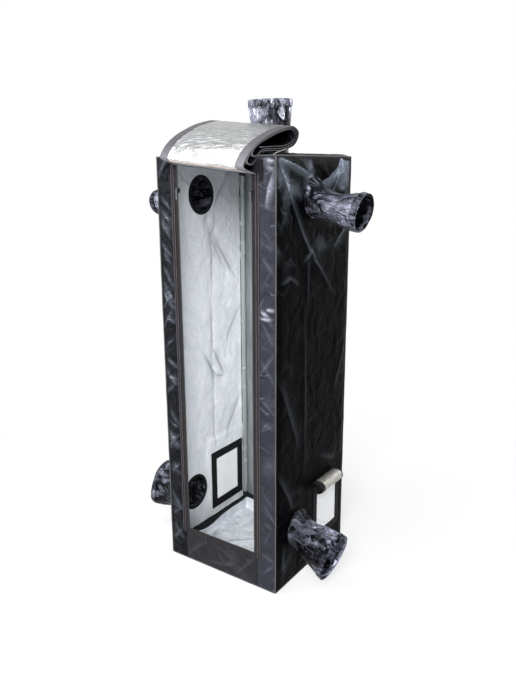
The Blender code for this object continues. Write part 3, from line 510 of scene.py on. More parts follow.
def add_grid(shape, across, up, place, closed=False):
    """Add a grid with lines at these values; place turns two values into a point."""
    made = bmesh.ops.create_grid(shape, x_segments=len(across) - 1, y_segments=len(up) - 1, size=1)
    for vert in made["verts"]:
        column = round((vert.co.x + 1) / 2 * (len(across) - 1))
        row = round((vert.co.y + 1) / 2 * (len(up) - 1))
        vert.co = place(across[column], up[row])
    if closed:
        bmesh.ops.remove_doubles(shape, verts=made["verts"], dist=0.00002)
    return shape


def flat_grid(across, up):
    """A new flat panel, with its place on the tent as x and y."""
    return add_grid(bmesh.new(), across, up, lambda a, b: Vector((a, b, 0)))


def flipped(shape):
    """Turn every face of a shape over."""
    bmesh.ops.reverse_faces(shape, faces=shape.faces[:])
    return shape


def face_outwards(shape):
    """Turn the faces of a shape so that they agree, and face out where it is closed."""
    bmesh.ops.recalc_face_normals(shape, faces=shape.faces[:])


def add_cord(shape, points, radius, sides=8):
    """A round cord along a row of points, closed at both ends."""
    points = [Vector(point) for point in points]
    last = len(points) - 1
    ways = [(points[min(k + 1, last)] - points[max(k - 1, 0)]).normalized() for k in range(last + 1)]
    turns = [ways[0].to_track_quat("Z", "Y")]
    for k in range(last):
        turns.append(ways[k].rotation_difference(ways[k + 1]) @ turns[-1])

    def place(angle, row):
        k = min(max(row - 1, 0), last)
        wide = 0 if row in (0, last + 2) else radius
        return points[k] + turns[k] @ Vector((cos(angle), sin(angle), 0)) * wide

    angles = [2 * pi * k / sides for k in range(sides + 1)]
    return add_grid(shape, angles, range(last + 3), place, closed=True)


def add_stitches(shape, points, outward):
    """A row of stitches along a row of points; each is a small bar that lies on the cloth."""
    points = [Vector(point) for point in points]
    size = Matrix.Diagonal((*STITCH, 1))
    left = STITCH_PITCH / 2
    for start, end in zip(points, points[1:]):
        along = end - start
        reach = along.length
        turn = along.to_track_quat("X", "Z").to_matrix().to_4x4()
        while left < reach:
            middle = start + along * (left / reach) + Vector(outward) * (STITCH[2] * 0.3)
            bmesh.ops.create_cube(shape, size=1, matrix=Matrix.Translation(middle) @ turn @ size)
            left += STITCH_PITCH
        left -= reach


def finished(shape, name, finishes, body, nodes=(), thickness=None, offset=-1):
    """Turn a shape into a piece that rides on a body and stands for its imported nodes."""
    mesh = bpy.data.meshes.new(name)
    shape.to_mesh(mesh)
    shape.free()
    mesh.shade_smooth()
    piece = bpy.data.objects.new(name, mesh)
    bpy.context.scene.collection.objects.link(piece)
    for finish in finishes:
        mesh.materials.append(finish)
    if thickness:
        solidify = piece.modifiers.new("thickness", "SOLIDIFY")
        solidify.thickness = thickness
        solidify.offset = offset
        solidify.material_offset = len(finishes) - 1
    if body:
        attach(piece, body)
    if nodes:
        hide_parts(*nodes)
    print(name, len(mesh.polygons), "faces")
    return piece


def flat_shaded(piece):
    """Small sewn or moulded blocks keep their flat faces."""
    for polygon in piece.data.polygons:
        polygon.use_smooth = False


def fold_shape(point, folds):
    """Lift, painted shading and crease line of the cloth at a point. A fold is (start, end, height,
    width): a sharp ridge, with one steep side and one slack side, that dies away at its ends. The
    steep side gets painted shading, and the ridge itself a thin painted crease line; the finishes
    paint both as highlights on the black cloth and as shade on the lining."""
    lift = painted_fold_shading = crease = 0
    for start, end, height, width in folds:
        start = Vector(start)
        along = Vector(end) - start
        share = min(max((point - start).dot(along) / along.length_squared, 0), 1)
        away = point - start - along * share
        reach = away.length
        steep = along.x * away.y - along.y * away.x > 0
        fade = sin(pi * (0.10 + 0.80 * share))
        lift += height * fade * exp(-reach / (width * (0.5 if steep else 1.5)))
        side = 1.25 * smooth_step(0.5 + (reach if steep else -reach) / PAINTED_SHADING_STEP) - 0.25
        painted_fold_shading += side * height / PAINTED_SHADING_STEP * fade * exp(-(reach / width) ** 2)
        crease = max(crease, min(height / FULL_CREASE, 1) * fade * exp(-(reach / CREASE_WIDTH) ** 2))
    return lift, painted_fold_shading, crease


def paint_fold_shading(shape, folds, strength=1.0):
    """Store each point's painted fold shading and crease line in the mesh, where the finishes paint
    them as highlights on the black cloth and as shade on the lining. The points still lie flat, with
    their place on the panel as x and y."""
    painted_shading_marks = shape.verts.layers.float.new("painted_fold_shading")
    creases = shape.verts.layers.float.new("crease")
    for vert in shape.verts:
        painted_fold_shading, crease = fold_shape(Vector((vert.co.x, vert.co.y)), folds)[1:]
        vert[painted_shading_marks] = painted_fold_shading * strength
        vert[creases] = crease * strength


def crumple(a, b, size, seed):
    """Crumpled cloth: facets of about this size with valleys between them, about 0 to 1."""
    spot = Vector((a, b, seed)) / size
    spot += noise.noise_vector(spot * 0.6) * 0.6
    near = noise.voronoi(spot)[0]
    return min(near[1] - near[0], 0.6)


print("cloth helpers ready")

# %% [markdown]
# The cabinet is 0.40 m square and 1.24 m high. Every panel rounds its edges by a few millimetres,
# and lies flat along its seams and round its openings.

# %% Sizes of the cover
HALF = 0.200
TOP = 1.240
EDGE_ROUND = 0.0050
PORT_RADIUS = 0.0505
SEAM_RADIUS = 0.0620
UPPER_PORT = (-0.010, 1.130)
LOWER_PORT = (-0.080, 0.163)
ROOF_PORT = (0.0, 0.078)
VENT_MIDDLE = (0.095, 0.162)
VENT_HALF = (0.060, 0.076)
VENT_BORDER = 0.022
VENT_CORNER = 0.012
FLAP_REACH = 0.045
FLAP_OVERHANG = 0.012
CALM_EDGE = 0.026
CALM_ROUND = 0.022


def rolled_edge(inset):
    """How far a panel falls back as it rounds the cabinet's edge."""
    if inset >= EDGE_ROUND:
        return 0
    return EDGE_ROUND - sqrt(EDGE_ROUND ** 2 - (EDGE_ROUND - inset) ** 2)


def fallen(a, b):
    """How far a wall falls back at the cabinet's upright edges and at its top."""
    return max(rolled_edge(HALF - abs(a)), rolled_edge(TOP - b))


def open_round(shape, middle, radius, step):
    """Open a round port: take the faces out and draw their rim onto the circle."""
    middle = Vector((*middle, 0))
    inside = [face for face in shape.faces if (face.calc_center_median() - middle).length < radius]
    bmesh.ops.delete(shape, geom=inside, context="FACES")
    for vert in shape.verts:
        away = vert.co - middle
        if vert.is_boundary and away.length < radius + 1.5 * step:
            vert.co = middle + away.normalized() * radius


def open_square(shape, middle, half):
    """Open a rectangle between lines of the grid."""
    inside = [face for face in shape.faces
              if abs(face.calc_center_median().x - middle[0]) < half[0]
              and abs(face.calc_center_median().y - middle[1]) < half[1]]
    bmesh.ops.delete(shape, geom=inside, context="FACES")


def calm(a, b):
    """0 at a side wall's seams, ports and vent, and above the vent where a lifted flap comes to lie.
    There the cloth is held flat. 1 away from them."""
    value = smooth_step(min(HALF - abs(a), b, TOP - b) / CALM_EDGE)
    for port in (UPPER_PORT, LOWER_PORT):
        reach = sqrt((a - port[0]) ** 2 + (b - port[1]) ** 2)
        value *= smooth_step((reach - SEAM_RADIUS) / CALM_ROUND)
    above = b - VENT_MIDDLE[1] - FLAP_REACH
    beside = max(a - VENT_MIDDLE[0], VENT_MIDDLE[0] - a - FLAP_OVERHANG)
    aside = max(beside - VENT_HALF[0], VENT_MIDDLE[1] - b - VENT_HALF[1], above - VENT_HALF[1])
    return value * smooth_step((aside - VENT_BORDER) / CALM_ROUND)


EDGE_LINES = [EDGE_ROUND * share for share in (0.3, 0.42, 0.62, 1.0)]
SIDE_START = EDGE_LINES[0]
SIDE_MARKS = [way * (HALF - inset) for inset in EDGE_LINES for way in (-1, 1)]
TOP_MARKS = [TOP - inset for inset in EDGE_LINES]
print("cover", 2 * HALF, 2 * HALF, TOP)

# %% [markdown]
# The side walls are the largest pieces of cloth. Each hangs from the frame and is pulled towards
# its corners and its two duct ports, and that pull makes the long folds: a V from the two top
# corners that meets above the upper port, and a long slant under it. The folds are given by their
# ends, height and width on the wall, and facets of crumpled cloth lie between them.

# %% Side walls
RIGHT_FOLDS = (
    ((-0.022, 1.184), (-0.189, 1.236), 0.0080, 0.010), ((0.020, 1.166), (-0.030, 1.188), 0.0070, 0.012),
    ((0.143, 1.236), (0.026, 1.166), 0.0110, 0.026), ((0.112, 1.199), (0.086, 1.152), 0.0080, 0.006),
    ((-0.166, 0.026), (-0.160, 0.140), 0.0070, 0.006),
    ((-0.192, 1.228), (-0.118, 1.107), 0.0034, 0.012), ((-0.122, 1.112), (-0.076, 1.038), 0.0030, 0.012),
    ((-0.080, 1.044), (-0.033, 0.982), 0.0034, 0.010), ((-0.037, 0.986), (0.100, 0.851), 0.0046, 0.010),
    ((0.130, 1.222), (0.086, 1.150), 0.0050, 0.012), ((-0.174, 0.914), (-0.139, 0.925), 0.0060, 0.008),
    ((-0.143, 0.925), (-0.094, 0.901), 0.0060, 0.008), ((-0.047, 0.968), (-0.044, 0.848), 0.0045, 0.007),
    ((-0.060, 0.961), (-0.026, 0.989), 0.0045, 0.008), ((-0.030, 0.988), (-0.008, 0.967), 0.0040, 0.008),
    ((0.184, 1.060), (0.100, 0.990), 0.0050, 0.016), ((0.186, 0.700), (0.120, 0.560), 0.0040, 0.020),
    ((-0.186, 0.640), (-0.090, 0.430), 0.0045, 0.022), ((-0.060, 0.830), (-0.050, 0.330), 0.0030, 0.010),
    ((-0.186, 0.360), (-0.120, 0.245), 0.0060, 0.016), ((0.040, 0.350), (0.150, 0.300), 0.0045, 0.014),
    ((-0.180, 0.060), (-0.110, 0.100), 0.0060, 0.012), ((-0.060, 0.070), (0.010, 0.030), 0.0045, 0.012),
)
LEFT_FOLDS = (
    ((-0.186, 1.232), (-0.110, 1.206), 0.0075, 0.014), ((-0.112, 1.207), (-0.055, 1.150), 0.0070, 0.014),
    ((0.188, 1.234), (0.120, 1.178), 0.0070, 0.016), ((0.122, 1.178), (0.050, 1.090), 0.0070, 0.016),
    ((0.001, 1.077), (0.032, 1.024), 0.0060, 0.012), ((0.030, 1.028), (0.112, 0.886), 0.0080, 0.018),
    ((0.060, 1.080), (0.032, 0.800), 0.0060, 0.016), ((0.046, 1.010), (0.164, 0.850), 0.0060, 0.018),
    ((0.031, 0.810), (0.037, 0.600), 0.0055, 0.008), ((0.037, 0.620), (0.036, 0.470), 0.0055, 0.008),
    ((0.036, 0.482), (0.030, 0.282), 0.0050, 0.008), ((0.041, 0.628), (0.104, 0.518), 0.0070, 0.014),
    ((0.103, 0.521), (0.053, 0.536), 0.0050, 0.012), ((0.057, 0.532), (-0.003, 0.616), 0.0060, 0.013),
    ((-0.190, 0.800), (-0.100, 0.660), 0.0060, 0.022), ((0.190, 0.760), (0.110, 0.640), 0.0060, 0.020),
    ((-0.185, 0.340), (-0.130, 0.230), 0.0060, 0.016), ((0.180, 0.420), (0.090, 0.300), 0.0060, 0.016),
)
SIDE_STEP = 0.0042


def side_lift(a, b, folds, seed):
    """Outward lift of a side wall at a place along Y and up Z."""
    slack = 0.0030 * sin(pi * b / TOP)
    facets = crumple(a, b, 0.062, seed) * 0.0034 + crumple(a, b, 0.027, seed + 4) * 0.0013
    soft = drift(a * 7, b * 7, seed) * 0.0016
    return calm(a, b) * (slack + fold_shape(Vector((a, b)), folds)[0] + facets + soft)


def side_wall(side, sign, folds, strength):
    """A side wall with its two ports and its vent opening."""
    vent_a, vent_b = ([VENT_MIDDLE[k] + way * VENT_HALF[k] for way in (-1, 1)] for k in (0, 1))
    across = lines(-HALF + SIDE_START, HALF - SIDE_START, SIDE_STEP, [*vent_a, *SIDE_MARKS])
    up = lines(0.0, TOP - SIDE_START, SIDE_STEP, [*vent_b, *TOP_MARKS])
    shape = flat_grid(across, up)
    open_round(shape, UPPER_PORT, PORT_RADIUS, SIDE_STEP)
    open_round(shape, LOWER_PORT, PORT_RADIUS, SIDE_STEP)
    open_square(shape, VENT_MIDDLE, VENT_HALF)
    paint_fold_shading(shape, folds, strength)
    for vert in shape.verts:
        a, b = vert.co.x, vert.co.y
        x = HALF - fallen(a, b) + side_lift(a, b, folds, sign * 3)
        vert.co = Vector((sign * x, a, b))
    if sign < 0:
        flipped(shape)
    wall = finished(shape, f"side_wall_{side}", [wall_cloth, lining], "tent", [f"wall_{side}"],
                    thickness=CLOTH)


# The left wall's folds carry stronger painted shading.
side_wall("left", -1, LEFT_FOLDS, 1.7)
side_wall("right", 1, RIGHT_FOLDS, 1.0)

# %% [markdown]
# The back wall has no ports in this tent, so it only bulges a little and hangs in slack slanting
# folds. Near its left edge, which shows through the doorway, the folds run straight down. The roof
# and the base are flat panels: the roof is stretched over the top rails, and the base lies on the
# floor under the tray.

# %% Back wall, roof and base
BACK_FOLDS = (
    ((-0.185, 1.232), (-0.060, 1.120), 0.0075, 0.018), ((0.185, 1.232), (0.070, 1.100), 0.0070, 0.018),
    ((-0.150, 1.000), (0.120, 0.870), 0.0050, 0.022), ((0.160, 0.760), (-0.040, 0.610), 0.0050, 0.022),
    ((-0.180, 0.560), (-0.060, 0.400), 0.0055, 0.020), ((0.180, 0.420), (0.060, 0.260), 0.0055, 0.020),
    ((-0.120, 0.240), (0.140, 0.150), 0.0050, 0.018), ((0.0, 0.900), (0.010, 0.300), 0.0030, 0.010),
    ((0.176, 1.190), (0.174, 0.050), 0.0060, 0.005), ((0.160, 1.150), (0.163, 0.080), 0.0050, 0.005),
    ((0.192, 1.190), (0.192, 0.050), 0.0050, 0.004), ((0.146, 1.120), (0.150, 0.600), 0.0030, 0.004),
)
BACK_STEP = 0.0068
BASE_HALF = 0.1985
BASE_STEP = 0.012


def back_place(a, b):
    """A point of the back wall; its lift is kept small, so the cabinet stays square."""
    value = smooth_step(min(HALF - abs(a), b, TOP - b) / 0.030)
    facets = crumple(a, b, 0.065, 9) * 0.0034 + crumple(a, b, 0.029, 14) * 0.0013
    lift = 0.0025 * sin(pi * b / TOP) + fold_shape(Vector((a, b)), BACK_FOLDS)[0] + facets
    return Vector((-a, HALF - fallen(a, b) + value * lift, b))


back_shape = flat_grid(lines(-HALF + SIDE_START, HALF - SIDE_START, BACK_STEP, SIDE_MARKS),
                       lines(0.0, TOP - SIDE_START, BACK_STEP, TOP_MARKS))
# The back wall's folds carry painted shading: highlights outside, shade on its lining.
paint_fold_shading(back_shape, BACK_FOLDS)
for vert in back_shape.verts:
    vert.co = back_place(vert.co.x, vert.co.y)
back_wall = finished(back_shape, "back_wall", [wall_cloth, shaded_back_lining], "tent", ["wall_back"],
                     thickness=CLOTH)


def roof_lift(a, b):
    """The roof is tight under the rolled door and puffs up behind it and beside it."""
    value = smooth_step(min(HALF - abs(a), HALF - abs(b)) / 0.02)
    reach = sqrt((a - ROOF_PORT[0]) ** 2 + (b - ROOF_PORT[1]) ** 2)
    value *= smooth_step((reach - SEAM_RADIUS) / 0.02)
    puff = 0.0085 * smooth_step(max(abs(a) - 0.143, b - 0.03) / 0.03)
    return value * (puff + crumple(a, b, 0.05, 21) * 0.0024 - 0.0030)


roof_across = lines(-HALF + SIDE_START, HALF - SIDE_START, SIDE_STEP, SIDE_MARKS)
roof_shape = flat_grid(roof_across, roof_across)
open_round(roof_shape, ROOF_PORT, PORT_RADIUS, SIDE_STEP)
for vert in roof_shape.verts:
    a, b = vert.co.x, vert.co.y
    back = max(rolled_edge(HALF - abs(a)), rolled_edge(HALF - abs(b)))
    vert.co.z = TOP - back + roof_lift(a, b)
roof = finished(roof_shape, "roof_cover", [wall_cloth, lining], "tent", ["roof_panel"],
                thickness=CLOTH)

base_lines = lines(-BASE_HALF, BASE_HALF, BASE_STEP)
base_shape = add_grid(bmesh.new(), base_lines, base_lines, lambda a, b: Vector((a, -b, 0)))
base = finished(base_shape, "base_sheet", [wall_cloth], "tent", ["base_panel"], thickness=CLOTH)

# %% [markdown]
# The front is a frame of cloth round the doorway: two tall strips, a sill and a header. The strips
# are narrow and loose, so their folds run across them at a slant, each a little different. They
# are thrown here by a seeded random, because only their kind can be seen, and a few clear ones are
# placed. The weight of the rolled door draws the header's lower left corner up.

# %% Front strips, sill and header
DOORWAY_HALF = 0.1235
DOORWAY_TOP = 1.193
SILL_TOP = 0.112
TAPE_WIDTH = 0.014
TAPE_EDGE = DOORWAY_HALF + TAPE_WIDTH
FRONT_STEP = 0.0042
LEFT_LIFT = 0.026


def slanting_folds(seed, low, high, count, ways, heights):
    """Folds across a band between two places along X, at changing slants and heights."""
    chance = Random(seed)
    folds = []
    for number in range(count):
        z = 0.03 + (TOP - 0.06) * (number + chance.uniform(0.1, 0.9)) / count
        slant = chance.choice(ways) * chance.uniform(0.012, 0.060)
        start = (low + chance.uniform(0.0, 0.3) * (high - low), z)
        end = (high - chance.uniform(0.0, 0.3) * (high - low), z + slant)
        folds.append((start, end, chance.uniform(*heights), chance.uniform(0.004, 0.010)))
    return folds


def front_panel(name, low, high, bottom, top, folds, seed, finish, rough, drawn=0.0):
    """A flat part of the front between two places along X and two heights, with facets from a seed,
    as deep as rough says. Its lower left corner can be drawn up."""
    shape = flat_grid(lines(low, high, FRONT_STEP, SIDE_MARKS),
                      lines(bottom, top, FRONT_STEP, TOP_MARKS))
    # The folds carry painted highlights on the black cloth and painted shade on the lining.
    paint_fold_shading(shape, folds)
    for vert in shape.verts:
        a, b = vert.co.x, vert.co.y
        held = min(a - low, high - a, b - bottom + 0.004, top - b)
        facets = crumple(a, b, 0.040, seed) * 0.0026 + crumple(a, b, 0.019, seed + 3) * 0.0010
        lift = fold_shape(Vector((a, b)), folds)[0] + facets * rough
        rise = drawn * (high - a) / (high - low) * (top - b) / (top - bottom)
        vert.co = Vector((a, -HALF + fallen(a, b) - smooth_step(held / 0.016) * lift, b + rise))
    piece = finished(shape, name, [finish, lining], "tent", [f"front_{name}"], thickness=CLOTH)
    high - low
    top - bottom


strip_end = HALF - SIDE_START
strip_top = TOP - SIDE_START
left_folds = (
    ((-0.190, 0.886), (-0.147, 0.829), 0.0050, 0.008),
    ((-0.196, 0.620), (-0.152, 0.577), 0.0050, 0.008),
    ((-0.194, 0.425), (-0.146, 0.377), 0.0050, 0.008),
    *slanting_folds(5, -0.197, -0.148, 26, (-1, -1, 1), (0.0034, 0.0066)),
)
right_folds = (
    ((0.153, 0.841), (0.176, 0.829), 0.0062, 0.005), ((0.172, 0.848), (0.194, 0.845), 0.0070, 0.005),
    ((0.153, 0.822), (0.186, 0.820), 0.0066, 0.005), ((0.196, 1.226), (0.163, 1.231), 0.0080, 0.008),
    ((0.194, 1.205), (0.165, 1.219), 0.0070, 0.007), ((0.188, 1.190), (0.170, 1.120), 0.0050, 0.010),
    *slanting_folds(11, 0.148, 0.197, 22, (-1, 1), (0.0003, 0.0010)),
)
SILL_FOLDS = (
    ((-0.130, 0.020), (-0.060, 0.080), 0.0014, 0.009), ((-0.030, 0.085), (0.050, 0.060), 0.0012, 0.009),
    ((0.060, 0.020), (0.125, 0.085), 0.0014, 0.009), ((-0.050, 0.018), (0.030, 0.034), 0.0020, 0.007),
    ((-0.010, 0.062), (0.016, 0.030), 0.0022, 0.005), ((0.016, 0.030), (0.050, 0.044), 0.0020, 0.005),
)
FRONT_PANELS = {
    "strip_left": (-strip_end, -TAPE_EDGE, 0.0, strip_top, left_folds, 31, left_cloth, 1.0),
    "strip_right": (TAPE_EDGE, strip_end, 0.0, strip_top, right_folds, 37, right_strip_sheen_cloth, 0.55),
    "sill": (-TAPE_EDGE, TAPE_EDGE, 0.0, SILL_TOP - TAPE_WIDTH, SILL_FOLDS, 43, sill_cloth, 0.9),
    "header": (-TAPE_EDGE, TAPE_EDGE, DOORWAY_TOP, strip_top, (), 47, left_cloth, 0.5, LEFT_LIFT),
}
for name, facts in FRONT_PANELS.items():
    front_panel(name, *facts)

# %% [markdown]
# A piping cord is sewn into every outer edge of the cover. Its pale grey is partly a painted
# highlight: it draws the thin light line down the front right edge and along the foot of the sill.
# It is a thin tube that wanders a little, as a sewn cord does.

# %% Piping
PIPING = 0.0019
WANDER_STEP = 0.02


def wandering(start, end, seed):
    """Points along an edge that stray by a fraction of a millimetre."""
    start = Vector(start)
    end = Vector(end)
    count = max(2, ceil((end - start).length / WANDER_STEP))
    points = []
    for k in range(count + 1):
        point = start.lerp(end, k / count)
        points.append(point + noise.noise_vector(point * 23 + Vector((seed, 0, 0))) * 0.0006)
    return points


piping_shape = bmesh.new()
EDGE = HALF - 0.0008
CORNERS = ((-EDGE, -EDGE), (EDGE, -EDGE), (EDGE, EDGE), (-EDGE, EDGE))
for number, (x, y) in enumerate(CORNERS):
    add_cord(piping_shape, wandering((x, y, 0.003), (x, y, TOP - 0.002), number), PIPING)
for level, z in enumerate((0.0028, TOP - 0.0012)):
    for number, start in enumerate(CORNERS):
        end = CORNERS[(number + 1) % 4]
        add_cord(piping_shape, wandering((*start, z), (*end, z), 10 * level + number), PIPING)
finished(piping_shape, "cover_piping", [painted_highlight_piping], "tent")

# %% [markdown]
# A black binding is sewn beside the piping on the side walls: down their back edge and along
# their top.

# %% Edge bindings
BINDING_IN = 0.0022
BINDING_OUT = 0.0120
edge_shape = bmesh.new()
for sign in (-1, 1):
    def edge_place(y, z, sign=sign):
        rise = 0.0006 + drift(y * 30, z * 30, sign) * 0.0004
        return Vector((sign * (HALF + rise), y, z))

    add_grid(edge_shape, lines(HALF - BINDING_OUT, HALF - BINDING_IN, 0.003)[::sign],
             lines(0.006, TOP - 0.006, 0.008), edge_place)
    add_grid(edge_shape, lines(-HALF + 0.005, HALF - 0.005, 0.008)[::sign],
             lines(TOP - BINDING_OUT, TOP - BINDING_IN, 0.003), edge_place)
edge_bindings = finished(edge_shape, "edge_bindings", [black_binding], "tent",
                         thickness=0.0010)

# %% [markdown]
# The zip runs in a U round the doorway. Its tape is a flat ribbed band, and its teeth are small
# moulded blocks on the tape's inner edge. There are hundreds of them, so each is only a bevelled
# block, and all are joined into one piece. Beside the tape, up each side of the doorway, lies a
# guard: a narrow band between two thin cords.

# %% Door zip
TOOTH_PITCH = 0.0032
TOOTH = (0.0028, 0.0017, 0.0024)
FRONT_MID = -HALF + CLOTH / 2


def zip_route(inset):
    """Corners of the U at a distance out from the doorway's edge."""
    far = DOORWAY_HALF + inset
    low = SILL_TOP - inset
    return [Vector((-far, FRONT_MID, DOORWAY_TOP + LEFT_LIFT * 0.95)), Vector((-far, FRONT_MID, low)),
            Vector((far, FRONT_MID, low)), Vector((far, FRONT_MID, DOORWAY_TOP))]


def tape_place(along, inset):
    """A point of the tape: along counts its four corners."""
    first = min(int(along), 2)
    route = zip_route(inset)
    point = route[first].lerp(route[first + 1], along - first)
    ripple = noise.noise(point * 35) * 0.0006
    return Vector((point.x, -HALF + ripple * smooth_step(inset / TAPE_WIDTH) * 0.5, point.z))


tape_rows = [side + k / count for side, count in enumerate((90, 24, 90)) for k in range(count)]
tape_rows.append(3.0)
tape_shape = add_grid(bmesh.new(), [0.0015, 0.004, 0.007, 0.010, TAPE_WIDTH], tape_rows,
                      lambda inset, along: tape_place(along, inset))
face_outwards(tape_shape)
if sum(face.normal.y for face in tape_shape.faces) > 0:
    flipped(tape_shape)
tape = finished(tape_shape, "zip_tape", [zip_tape], "tent", ["door_zip"],
                thickness=CLOTH)

band_shape = bmesh.new()
for sign in (-1, 1):
    band_lines = lines(TAPE_EDGE + 0.0004, TAPE_EDGE + 0.0090, 0.002)
    band_up = lines(SILL_TOP - TAPE_WIDTH, DOORWAY_TOP + 0.002 + LEFT_LIFT * (sign < 0), 0.009)

    def band_place(a, b, sign=sign):
        rise = 0.0012 + drift(sign * a * 20, b * 20, 6) * 0.0005
        return Vector((sign * a, -HALF - rise, b))

    add_grid(band_shape, band_lines if sign > 0 else band_lines[::-1], band_up, band_place)
bands = finished(band_shape, "zip_guards", [zip_tape], "tent", thickness=0.0009)
cord_shape = bmesh.new()
for sign, top in ((-1, DOORWAY_TOP + LEFT_LIFT), (1, band_up[-1])):
    for number, out in enumerate((0.0010, 0.0094)):
        foot = Vector((sign * (TAPE_EDGE + out), -HALF - 0.0016, SILL_TOP - TAPE_WIDTH))
        head = Vector((foot.x, foot.y, top))
        add_cord(cord_shape, wandering(foot, head, 40 + number), 0.0011, 6)
finished(cord_shape, "zip_guard_piping", [edge_cord], "tent")

tooth_pattern = bmesh.new()
bmesh.ops.create_cube(tooth_pattern, size=1, matrix=Matrix.Diagonal((*TOOTH, 1)))
bmesh.ops.bevel(tooth_pattern, geom=tooth_pattern.edges[:], offset=0.0004, segments=1, profile=0.5,
                affect="EDGES", material=-1)
tooth_mesh = bpy.data.meshes.new("tooth_pattern")
tooth_pattern.to_mesh(tooth_mesh)
tooth_pattern.free()
teeth_shape = bmesh.new()
route = zip_route(0.0015)
for start, end in zip(route, route[1:]):
    count = round((end - start).length / TOOTH_PITCH)
    turn = (end - start).to_track_quat("Y", "Z").to_matrix().to_4x4()
    for k in range(count):
        before = len(teeth_shape.verts)
        teeth_shape.from_mesh(tooth_mesh)
        teeth_shape.verts.ensure_lookup_table()
        spot = Matrix.Translation(start.lerp(end, (k + 0.5) / count)) @ turn
        bmesh.ops.transform(teeth_shape, matrix=spot, verts=teeth_shape.verts[before:])
bpy.data.meshes.remove(tooth_mesh)
teeth = finished(teeth_shape, "zip_teeth", [corner_plastic], "tent")
flat_shaded(teeth)

# %% [markdown]
# A duct sleeve is a sewn tube of thin black cloth with a hem at its mouth. Its plain form is a rule:
# a tube that leaves the wall squarely, bends to its mouth, and sags in between.

# %% Sleeve rule
GAP = 0.0003
NECK_RADIUS = 0.0520
FLANGE_RADIUS = 0.0560
HEM_LENGTH = 0.018
# For each sleeve: port, way out, its mouth's (reach, drop, aside, half width, half height, sag), the
# turns that it is twisted by, and how strong the painted highlight on its folds is.
SLEEVES = {
    "right_upper": ((HALF, *UPPER_PORT), (1, 0, 0), (0.150, 0.037, 0.000, 0.051, 0.051, 0.018), 0, 0.6),
    "right_lower": ((HALF, *LOWER_PORT), (1, 0, 0), (0.135, 0.050, -0.018, 0.050, 0.081, 0.009), 0, 1.5),
    "left_upper": ((-HALF, *UPPER_PORT), (-1, 0, 0), (0.168, 0.026, 0.000, 0.050, 0.040, 0.023), 0, 1.0),
    "left_lower": ((-HALF, *LOWER_PORT), (-1, 0, 0), (0.170, 0.018, 0.020, 0.038, 0.076, 0.000),
                   0.10, 1.0),
    "roof": ((*ROOF_PORT, TOP), (0, 0, 1), (0.157, 0.000, -0.006, 0.0635, 0.0635, 0.000), 0, 1.0),
}
SLEEVE_AROUND = 84
SLEEVE_RINGS = 44
SLEEVE_CLOTH = 0.0008
HEM_AROUND = 168
HEM_RIM = ((0, 0.0006), (0.12, 0.0011), (0.5, 0.0012), (0.85, 0.0013), (0.96, 0.0008), (1, 0),
           (0.96, -0.0010), (0.5, -0.0014), (0, -0.0012))


class Sleeve:
    """Places on one sleeve and on its hem."""

    def __init__(self, port, outward, mouth, twist):
        reach, drop, aside, self.wide, self.tall, self.sag = mouth
        self.port = Vector(port)
        self.outward = Vector(outward)
        self.side = Vector((0, 1, 0)) if outward[0] else Vector((1, 0, 0))
        self.twist = twist
        self.mouth = self.port + self.outward * reach + Vector((0, aside, -drop))
        self.start = self.port + self.outward * (GAP + CLOTH)
        self.way = (self.mouth - self.port).normalized()
        self.hem_start = self.mouth - self.way * HEM_LENGTH
        self.end = self.hem_start - self.way * GAP

    def ring(self, middle, along, half_side, half_up, turned, angle):
        """A point on an oval ring round a middle, square to the way along."""
        right = (self.side - along * self.side.dot(along)).normalized()
        right.rotate(Quaternion(along, 2 * pi * self.twist * turned))
        up = right.cross(along)
        return middle + right * half_side * cos(angle) - up * half_up * sin(angle)

    def tube(self, angle, share):
        """A point of the tube; share runs from the wall to the hem."""
        along = self.outward.lerp(self.way, share).normalized()
        grown = smooth_step(share)
        dip = self.sag * sin(pi * share) * (1 - share)
        half_side = NECK_RADIUS + (self.wide - NECK_RADIUS) * grown
        half_up = NECK_RADIUS + (self.tall - NECK_RADIUS) * grown - dip
        middle = self.start.lerp(self.end, share) - Vector((0, 0, dip))
        return self.ring(middle, along, half_side, half_up, grown, angle)

    def hem(self, angle, share, grow):
        """A point of the hem, grown outwards; share runs from its seam to its rim."""
        middle = self.hem_start + self.way * HEM_LENGTH * share
        return self.ring(middle, self.way, self.wide + grow, self.tall + grow, 1, angle)


print("sleeves", list(SLEEVES))

# %% [markdown]
# A sleeve has more cloth than room, so it crumples into soft rings and slanting folds. That is what
# a cloth simulation does well: a tube longer than its place starts wrung round its axis, its two
# ends are pushed and turned into place, and the spare cloth between them buckles. No point may stray
# far from the rule. Where the cloth then leans towards a fixed light direction, the mesh carries a
# painted highlight.

# %% Sleeves by simulation
SLEEVE_SPARE = 0.20
SLEEVE_WRING = 0.80
PULL_FRAMES = 24
REST_FRAMES = 6
SLEEVE_SETTINGS = {
    "quality": 6, "mass": 0.10, "tension_stiffness": 14, "compression_stiffness": 14,
    "shear_stiffness": 6, "bending_stiffness": 0.30, "vertex_group_mass": "held",
}
STRAY_IN = 0.016
STRAY_OUT = 0.0045
FLANGE_LIFT = 0.0006
# The way to the light that the sleeves' painted highlights face.
PAINTED_LIGHT_WAY = Vector((0.35, -0.55, 0.75)).normalized()


